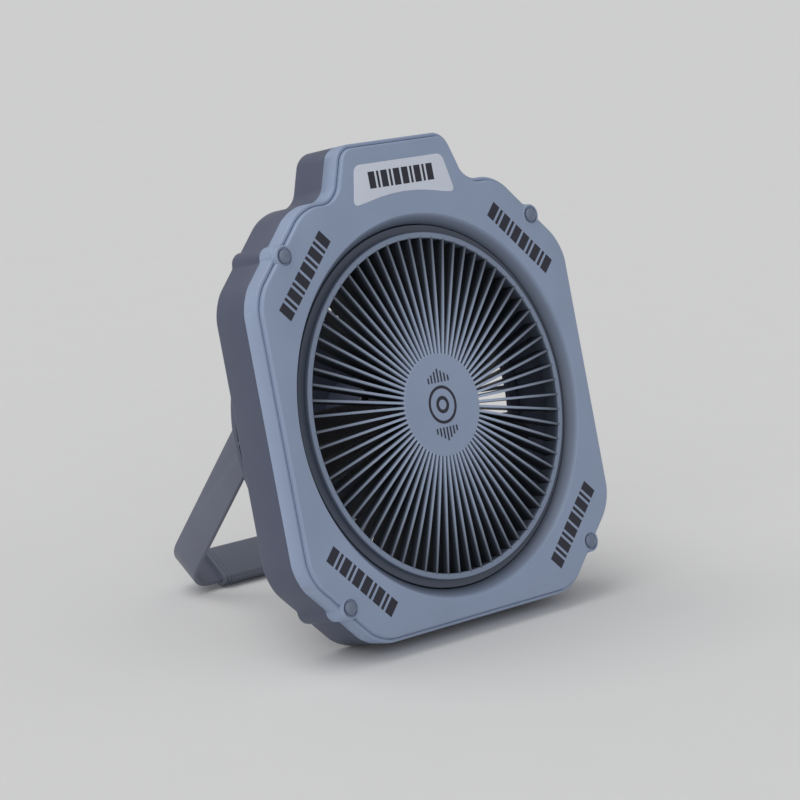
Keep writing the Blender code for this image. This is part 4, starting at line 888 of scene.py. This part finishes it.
# %% Openings for the controls
BUTTON_HOLE = 0.0045
BUTTON_DISH = 0.0053
CUT_IN = 0.006
CUT_LENGTH = 0.01
COVER_HALF = 0.0080
COVER_LOW, COVER_HIGH = 0.1198, 0.1282
COVER_SINK = 0.0008
LENS_HALF, LENS_RADIUS = 0.0065, 0.0011
LENS_PLACE = (0, 0.1450)
FOOT_PLACE = 0.0520
FOOT_HALF = 0.0140
FOOT_LOW, FOOT_TOP = -0.1290, -0.1278
FOOT_FRONT = 0.0235
FOOT_DEEP = 0.0105
BUTTONS = {"power_button": (-0.0185, 0.1400), "speed_up_button": (0.0185, 0.1463),
           "speed_down_button": (0.0185, 0.1337)}
for across, up in BUTTONS.values():
    combine(rear_shell, "DIFFERENCE",
            turned("button_hole", ((0.0, 0.02), (BUTTON_HOLE, 0.02), (BUTTON_HOLE, BACK - 0.0004),
                                   (BUTTON_DISH, BACK + 0.0002), (BUTTON_DISH, BACK + PAST),
                                   (0.0, BACK + PAST)), 40, (across, up)))


def stadium_points(half_width, radius, centre, depth, steps=8):
    """Corners of a slot with round ends."""
    points = []
    for side, start in ((1, -math.pi / 2), (-1, math.pi / 2)):
        for step in range(steps + 1):
            turn = start + math.pi * step / steps
            points.append((centre[0] + side * (half_width - radius) + radius * math.cos(turn), depth,
                           centre[1] + radius * math.sin(turn)))
    return points


def box_points(left, right, low, high, depth):
    return [(left, depth, low), (right, depth, low), (right, depth, high), (left, depth, high)]


cover_room = box_points(-COVER_HALF - SEAM, COVER_HALF + SEAM, COVER_LOW - SEAM, COVER_HIGH + SEAM,
                        BACK - COVER_SINK - SEAM)
port_room = stadium_points(0.0050, 0.0020, (0, 0.1240), BACK - CUT_IN)
light_room = stadium_points(LENS_HALF + SEAM, LENS_RADIUS + SEAM, LENS_PLACE, BACK - CUT_IN)
combine(rear_shell, "DIFFERENCE", extruded("cover_recess", cover_room, (0, 0.003, 0)))
combine(rear_shell, "DIFFERENCE", extruded("port_hole", port_room, (0, CUT_LENGTH, 0)))
combine(rear_shell, "DIFFERENCE", extruded("light_hole", light_room, (0, CUT_LENGTH, 0)))
for across in (-FOOT_PLACE, FOOT_PLACE):
    foot_room = box_points(across - FOOT_HALF - SEAM, across + FOOT_HALF + SEAM,
                           FOOT_LOW - CUT_START, FOOT_TOP + SEAM, FOOT_FRONT - SEAM)
    combine(rear_shell, "DIFFERENCE", extruded("foot_hole", foot_room, (0, FOOT_DEEP + 2 * SEAM, 0)))
round_edges(rear_shell, MOULD_EDGE, 2, 42.0)
hand_over(rear_shell, "housing", "housing_plastic", "rear_housing")

# %% [markdown]
# ## Buttons, light, port cover and feet
# Buttons are small round discs with a dished top, and stand a millimetre proud. The light is a frosted
# slot. The port cover is a rubber flap with a fingernail lip, and the feet are rubber pads let into the
# underside.

# %% Buttons and light
button_profile = ((0.0, BACK - 0.0038), (0.0054, BACK - 0.0038), (0.0054, BACK - 0.0028),
                  (0.0042, BACK - 0.0028), (0.0042, BACK + 0.0004), (0.0040, BACK + 0.0008),
                  (0.0036, BACK + 0.0010), (0.0020, BACK + 0.0007), (0.0, BACK + 0.0006))
for name, place in BUTTONS.items():
    button = turned(name + "_dome", button_profile, 48, place)
    hand_over(button, name, "bezel_plastic", name)
light_slot = extruded("light_slot", stadium_points(LENS_HALF, LENS_RADIUS, LENS_PLACE, BACK - 0.0050),
                      (0, 0.0052, 0))
round_edges(light_slot, 0.0002, 2, 60.0)
hand_over(light_slot, "housing", "lens_plastic", "indicator_lens")

# %% Port cover and feet
flap = extruded("port_flap", box_points(-COVER_HALF, COVER_HALF, COVER_LOW, COVER_HIGH, BACK - COVER_SINK),
                (0, 0.0010, 0))
lip = extruded("flap_lip", box_points(0.0058, 0.0072, 0.1218, 0.1262, BACK), (0, 0.0007, 0))
combine(flap, "UNION", lip)
round_edges(flap, 0.0002, 2, 42.0)
hand_over(flap, "port_cover", "grip_rubber", "port_cover")
for side, name in ((-1, "left"), (1, "right")):
    middle = side * FOOT_PLACE
    foot = extruded("foot_" + name, box_points(middle - FOOT_HALF, middle + FOOT_HALF,
                                               FOOT_LOW, FOOT_TOP, FOOT_FRONT), (0, FOOT_DEEP, 0))
    round_edges(foot, 0.0002, 2, 42.0)
    hand_over(foot, "housing", "grip_rubber", "rubber_foot_" + name)

# %% [markdown]
# ## Rear guard
# Behind the impeller sits a basket: a flange screwed to the rear shell, thin bars that run back and turn in
# over the rear face, and a solid disc that carries the motor pod. One bar is drawn from the side as a bent
# strip and repeated; the rings, the disc and the pod are turned.

# %% Bars
BAR_HALF = 0.0011
BAR_START = BACK + 0.0008
BEND = 0.0034
BEND_CUT = 0.0012
INNER_BEND = 0.0020
inside = GUARD_RADIUS - GUARD_WALL
guard_floor = GUARD_BACK - GUARD_WALL
bar_side = ((GUARD_RADIUS, BAR_START), (GUARD_RADIUS, GUARD_BACK - BEND),
            (GUARD_RADIUS - BEND_CUT, GUARD_BACK - BEND_CUT), (GUARD_RADIUS - BEND, GUARD_BACK),
            (MID_RING - 0.001, GUARD_BACK), (MID_RING - 0.001, guard_floor),
            (inside - INNER_BEND, guard_floor), (inside, guard_floor - INNER_BEND), (inside, BAR_START))
bar = extruded("guard_bars", [(radius, depth, -BAR_HALF) for radius, depth in bar_side], (0, 0, 2 * BAR_HALF))
round_edges(bar, 0.0005, 2, 60.0)
repeat_around(bar, GUARD_BARS)

# %% Rings, disc and pod
FLANGE_RADIUS = 0.1090
flange = turned("guard_flange", ((inside, BACK + SEAM), (FLANGE_RADIUS, BACK + SEAM),
                                 (FLANGE_RADIUS, BACK + 0.0018), (FLANGE_RADIUS - 0.0005, BACK + 0.0023),
                                 (GUARD_RADIUS + 0.0004, BACK + 0.0023),
                                 (GUARD_RADIUS, BACK + 0.0032), (inside, BACK + 0.0032)), 160)
corner_profile = ((inside, GUARD_BACK - 0.0060), (GUARD_RADIUS, GUARD_BACK - 0.0060),
                  (GUARD_RADIUS, GUARD_BACK - BEND), (GUARD_RADIUS - 0.0006, GUARD_BACK - 0.0016),
                  (GUARD_RADIUS - 0.0018, GUARD_BACK - 0.0004), (GUARD_RADIUS - BEND, GUARD_BACK),
                  (inside - 0.0040, GUARD_BACK), (inside - 0.0040, guard_floor),
                  (inside - INNER_BEND, guard_floor), (inside, guard_floor - INNER_BEND))
corner_ring = turned("guard_corner_ring", corner_profile, 160)
POD_FRONT = 0.0465
POD_BORE = 0.0190
disc = turned("guard_disc", ((0.0, GUARD_BACK - 0.0006), (0.0300, GUARD_BACK - 0.0006), (0.0306, GUARD_BACK),
                             (MID_RING - 0.0004, GUARD_BACK), (MID_RING, GUARD_BACK - 0.0004),
                             (MID_RING, guard_floor), (POD_RADIUS, guard_floor),
                             (POD_RADIUS, POD_FRONT + 0.0004), (POD_RADIUS - 0.0004, POD_FRONT),
                             (POD_BORE, POD_FRONT), (POD_BORE, guard_floor), (0.0, guard_floor)), 128)

# %% Lugs for the stand
PIVOT_BACK = 0.0920
LUG_FACE = 0.0724
LUG_RADIUS = 0.0090
LUG_STEPS = 16
LUG_THICK = 0.0060
PAD_HALF = 0.0170
PIVOT_HOLE = 0.0027


def pivot_hole(length, across, back):
    """A cutter for a pivot screw's hole, which lies across the fan."""
    bpy.ops.mesh.primitive_cylinder_add(vertices=32, radius=PIVOT_HOLE, depth=length,
                                        location=(across, back, 0), rotation=(0, math.pi / 2, 0))
    return bpy.context.object


lugs = []
for side in (-1, 1):
    foot = ((guard_floor, 0.0120), (GUARD_BACK + 0.002, 0.0105), (PIVOT_BACK - 0.002, LUG_RADIUS))
    points = [(side * LUG_FACE, depth, -up) for depth, up in foot]
    for step in range(LUG_STEPS + 1):
        turn = -math.pi / 2 + math.pi * step / LUG_STEPS
        points.append((side * LUG_FACE, PIVOT_BACK + LUG_RADIUS * math.cos(turn),
                       LUG_RADIUS * math.sin(turn)))
    points += [(side * LUG_FACE, depth, up) for depth, up in reversed(foot)]
    lug = extruded("lug", points, (-side * LUG_THICK, 0, 0))
    combine(lug, "DIFFERENCE", pivot_hole(0.03, side * LUG_FACE, PIVOT_BACK))
    edge_in, edge_out = sorted((side * (LUG_FACE - 0.0100), side * (GUARD_RADIUS - 0.006)))
    pad = extruded("lug_pad", box_points(edge_in, edge_out, -PAD_HALF, PAD_HALF, guard_floor),
                   (0, GUARD_WALL - 0.0001, 0))
    lugs += [round_edges(lug, 0.0005, 2, 50.0), round_edges(pad, 0.0003, 2, 50.0)]
guard = joined(bar, flange, corner_ring, disc, *lugs)
guard.name = "guard_basket"
hand_over(guard, "housing", "housing_plastic", "rear_guard")

# %% [markdown]
# ## Impeller
# Five blades stand on a cup that hides the motor. A blade is a thin curved sheet, steep at its root and
# flatter at its tip. It starts as a grid, its points are moved to the blade's twisted surface, and a
# Solidify modifier gives it thickness.

# %% Cup and blades
CUP_RADIUS = 0.0230
CUP_FRONT, CUP_SHOULDER, CUP_END = 0.0145, 0.0215, 0.0385
CUP_FLOOR = 0.0170
SHAFT_HOLE = 0.0020
CUP_WALL = 0.002
BLADE_COUNT = 5
BLADE_TIP = 0.0962
BLADE_THICKNESS = 0.0016
BLADE_MIDDLE = 0.0250
ROOT_CHORD = 0.0240
ROOT_PITCH, PITCH_DROP = 46, 22
SWEEP = 10
TIP_ROUND_FROM = 0.82
cup = turned("impeller_blades", ((SHAFT_HOLE, CUP_FRONT), (0.0140, CUP_FRONT), (0.0195, 0.0158),
                                 (0.0222, 0.0185), (CUP_RADIUS, CUP_SHOULDER), (CUP_RADIUS, CUP_END),
                                 (CUP_RADIUS - CUP_WALL, CUP_END), (CUP_RADIUS - CUP_WALL, CUP_SHOULDER),
                                 (0.0140, CUP_FLOOR), (SHAFT_HOLE, CUP_FLOOR)), 96)
put_down()
bpy.ops.mesh.primitive_grid_add(x_subdivisions=14, y_subdivisions=10, size=1.0)
blade = bpy.context.object
for vertex in blade.data.vertices:
    share = vertex.co.x + 0.5
    along = vertex.co.y
    radius = CUP_RADIUS - 0.0005 + (BLADE_TIP - CUP_RADIUS) * share
    chord = ROOT_CHORD + 0.0100 * share * (3 - share ** 2)
    chord *= 1 - 0.30 * max(share - TIP_ROUND_FROM, 0) / 0.18 * abs(2 * along)
    pitch = math.radians(ROOT_PITCH - PITCH_DROP * share)
    camber = 0.10 * chord * (1 - 4 * along ** 2)
    depth = BLADE_MIDDLE - chord * along * math.sin(pitch) + camber * math.cos(pitch)
    turn = math.pi + math.radians(SWEEP) * share + chord * along * math.cos(pitch) / max(radius, 0.03)
    vertex.co = (radius * math.cos(turn), depth, radius * math.sin(turn))
thicken = blade.modifiers.new("thicken", "SOLIDIFY")
thicken.thickness = BLADE_THICKNESS
thicken.offset = 0.0
apply_all(blade)
tidy(blade)
round_edges(blade, 0.0004, 2, 50.0)
repeat_around(blade, BLADE_COUNT)
impeller = joined(cup, blade)
hand_over(impeller, "rotor", "impeller_plastic", "impeller")

# %% [markdown]
# ## Stand
# The stand is one flat steel strap bent into a bail. Its thin outline is drawn in the plane of the bend,
# from an outer and an inner line, and pulled out to the width of the strap. Its two ends are rounded. The
# stand's own upright frame hangs straight down from the pivot, so a second matrix swings it out to where
# the frame's strap is.

# %% The stand's frame
fold = next(joint for joint in frame["joints"] if joint["name"] == "stand_fold")
ARM_LENGTH = 0.1186
ARM_PLACE = 0.0755
low_corner, high_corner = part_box("stand_grip")
grip_middle = (low_corner + high_corner) / 2
reach = grip_middle - Vector(fold["pos_m"])
swing = math.atan2(reach.y, -reach.z)
HANGING = Matrix.Translation(fold["pos_m"]) @ Matrix.Rotation(swing, 4, "X")
print("strap leans out, degrees:", round(math.degrees(swing), 2), "arm:", round(reach.length, 4))

# %% Strap
STRAP_BEND = 0.0200
STRAP_HALF = 0.0015
STRAP_WIDE = 0.0115
STRAP_ROUND = 0.0006


def strap_side(offset, steps=14):
    """One side of the strap, this far outside its middle line."""
    radius = STRAP_BEND + offset
    points = [(-ARM_PLACE - offset, STRAP_WIDE)]
    for step in range(steps + 1):
        turn = math.pi / 2 * step / steps
        points.append((STRAP_BEND - ARM_PLACE - radius * math.cos(turn),
                       STRAP_BEND - ARM_LENGTH - radius * math.sin(turn)))
    return points + [(-across, up) for across, up in reversed(points)]


outer_side = strap_side(STRAP_HALF)
inner_side = strap_side(-STRAP_HALF)
strap = extruded("strap_bail", [(across, -STRAP_WIDE, up) for across, up in outer_side + inner_side[::-1]],
                 (0, 2 * STRAP_WIDE, 0))
edit(strap)
choose("EDGE", lambda point: point.z > STRAP_WIDE - 0.0005 and abs(abs(point.y) - STRAP_WIDE) < ON_PLANE)
bpy.ops.mesh.bevel(offset=STRAP_WIDE * 0.97, segments=12, affect="EDGES")
put_down()
for side in (-1, 1):
    combine(strap, "DIFFERENCE", pivot_hole(0.012, side * ARM_PLACE, 0))
round_edges(strap, STRAP_ROUND, 3, 50.0)
hand_over(strap, "stand", "stand_metal", "stand_bail", place=HANGING)

# %% [markdown]
# The grip is a rubber sleeve on the strap's crossbar. Two fine grooves run round it near each end. The
# sleeve's section is extruded along the bar in steps, and the section is drawn in a little at each groove.

# %% Grip
GRIP_HALF = 0.0470
GRIP_DEEP, GRIP_TALL = 0.0134, 0.0045
END_SIZE, GROOVE_SIZE = 0.93, 0.90
DEEP_SHARE = 0.45
stations = [(-GRIP_HALF, END_SIZE), (-GRIP_HALF + 0.0007, 1.0)]
for middle in (-0.0442, -0.0412, 0.0412, 0.0442):
    stations += [(middle - 0.0006, 1.0), (middle - 0.0003, GROOVE_SIZE),
                 (middle + 0.0003, GROOVE_SIZE), (middle + 0.0006, 1.0)]
stations += [(GRIP_HALF - 0.0007, 1.0), (GRIP_HALF, END_SIZE)]
grip = draw_face("rubber_grip", [(-GRIP_HALF, deep * GRIP_DEEP, up * GRIP_TALL - ARM_LENGTH)
                                 for deep, up in ((-1, -1), (1, -1), (1, 1), (-1, 1))])
bpy.ops.mesh.select_all(action="SELECT")
bpy.ops.mesh.bevel(offset=0.0022, segments=5, affect="VERTICES")
middle_line = (0, 0, -ARM_LENGTH)
bpy.ops.mesh.select_all(action="SELECT")
bpy.ops.transform.resize(value=(1, 0.965, 0.91), center_override=middle_line)
size_now = END_SIZE
for (here, _), (there, size) in zip(stations, stations[1:]):
    pull((there - here, 0, 0))
    change = size / size_now
    bpy.ops.transform.resize(value=(1, 1 + (change - 1) * DEEP_SHARE, change), center_override=middle_line)
    size_now = size
tidy(grip)
hand_over(grip, "stand", "grip_rubber", "stand_grip", place=HANGING, smooth=25.0)

# %% [markdown]
# ## Screws that show
# Pan-head screws hold the guard and the stand. One screw of each size is turned and a cross is cut in its
# head; the screws that stay are copies of it. On the pivots the head is larger, and the screw lies across
# the fan.

# %% One screw and its copies


def cross_head_screw(name, head_radius, head_height, shank_radius, length):
    """A screw along Y whose head bears on Y = 0 and faces back."""
    screw = turned(name, ((0.0, head_height), (head_radius * 0.55, head_height * 0.97),
                          (head_radius * 0.85, head_height * 0.72), (head_radius, head_height * 0.30),
                          (head_radius, 0.0), (shank_radius, 0.0), (shank_radius, -length),
                          (0.0, -length)), 36)
    for across, up in ((head_radius * 1.1, head_radius * 0.24), (head_radius * 0.24, head_radius * 1.1)):
        slot_face = box_points(-across / 2, across / 2, -up / 2, up / 2, head_height * 0.45)
        combine(screw, "DIFFERENCE", extruded("slot_cut", slot_face, (0, head_height, 0)))
    return screw


GUARD_SCREW_PLACE = 0.0745
guard_screw = cross_head_screw("guard_screw_pattern", 0.0028, 0.0017, 0.0015, 0.0105)
for corner, (across, up) in CORNERS.items():
    screw = copy_of(guard_screw, "guard_fastener_" + corner)
    place = (across * GUARD_SCREW_PLACE, BACK + 0.0026, up * GUARD_SCREW_PLACE)
    screw.data.transform(Matrix.Translation(place))
    hand_over(screw, "housing", "steel", "guard_screw_" + corner)
bpy.data.objects.remove(guard_screw)
pivot_pattern = cross_head_screw("pivot_screw_pattern", 0.0062, 0.0028, 0.0024, 0.0148)
for side, name in ((-1, "left"), (1, "right")):
    screw = copy_of(pivot_pattern, "pivot_fastener_" + name)
    lie_down = Matrix.Rotation(-side * math.pi / 2, 4, "Z")
    screw.data.transform(Matrix.Translation((side * (LUG_FACE + 0.0049), PIVOT_BACK, 0)) @ lie_down)
    hand_over(screw, "housing", "steel", "pivot_screw_" + name)
bpy.data.objects.remove(pivot_pattern)

# %% [markdown]
# ## Floor
# A plain pale floor catches the soft shadow.

# %% Floor
put_down()
bpy.ops.mesh.primitive_grid_add(x_subdivisions=8, y_subdivisions=8, size=40.0, location=(0, 0, 0))
floor = bpy.context.object
floor.name = "studio_floor"
floor_paint = moulded("studio_floor_paint", (0.79, 0.79, 0.785), 0.90, 0.004, 0.02, 60.0)
floor_paint.node_tree.nodes["Principled BSDF"].inputs["Specular IOR Level"].default_value = 0.0
floor.data.materials.append(floor_paint)
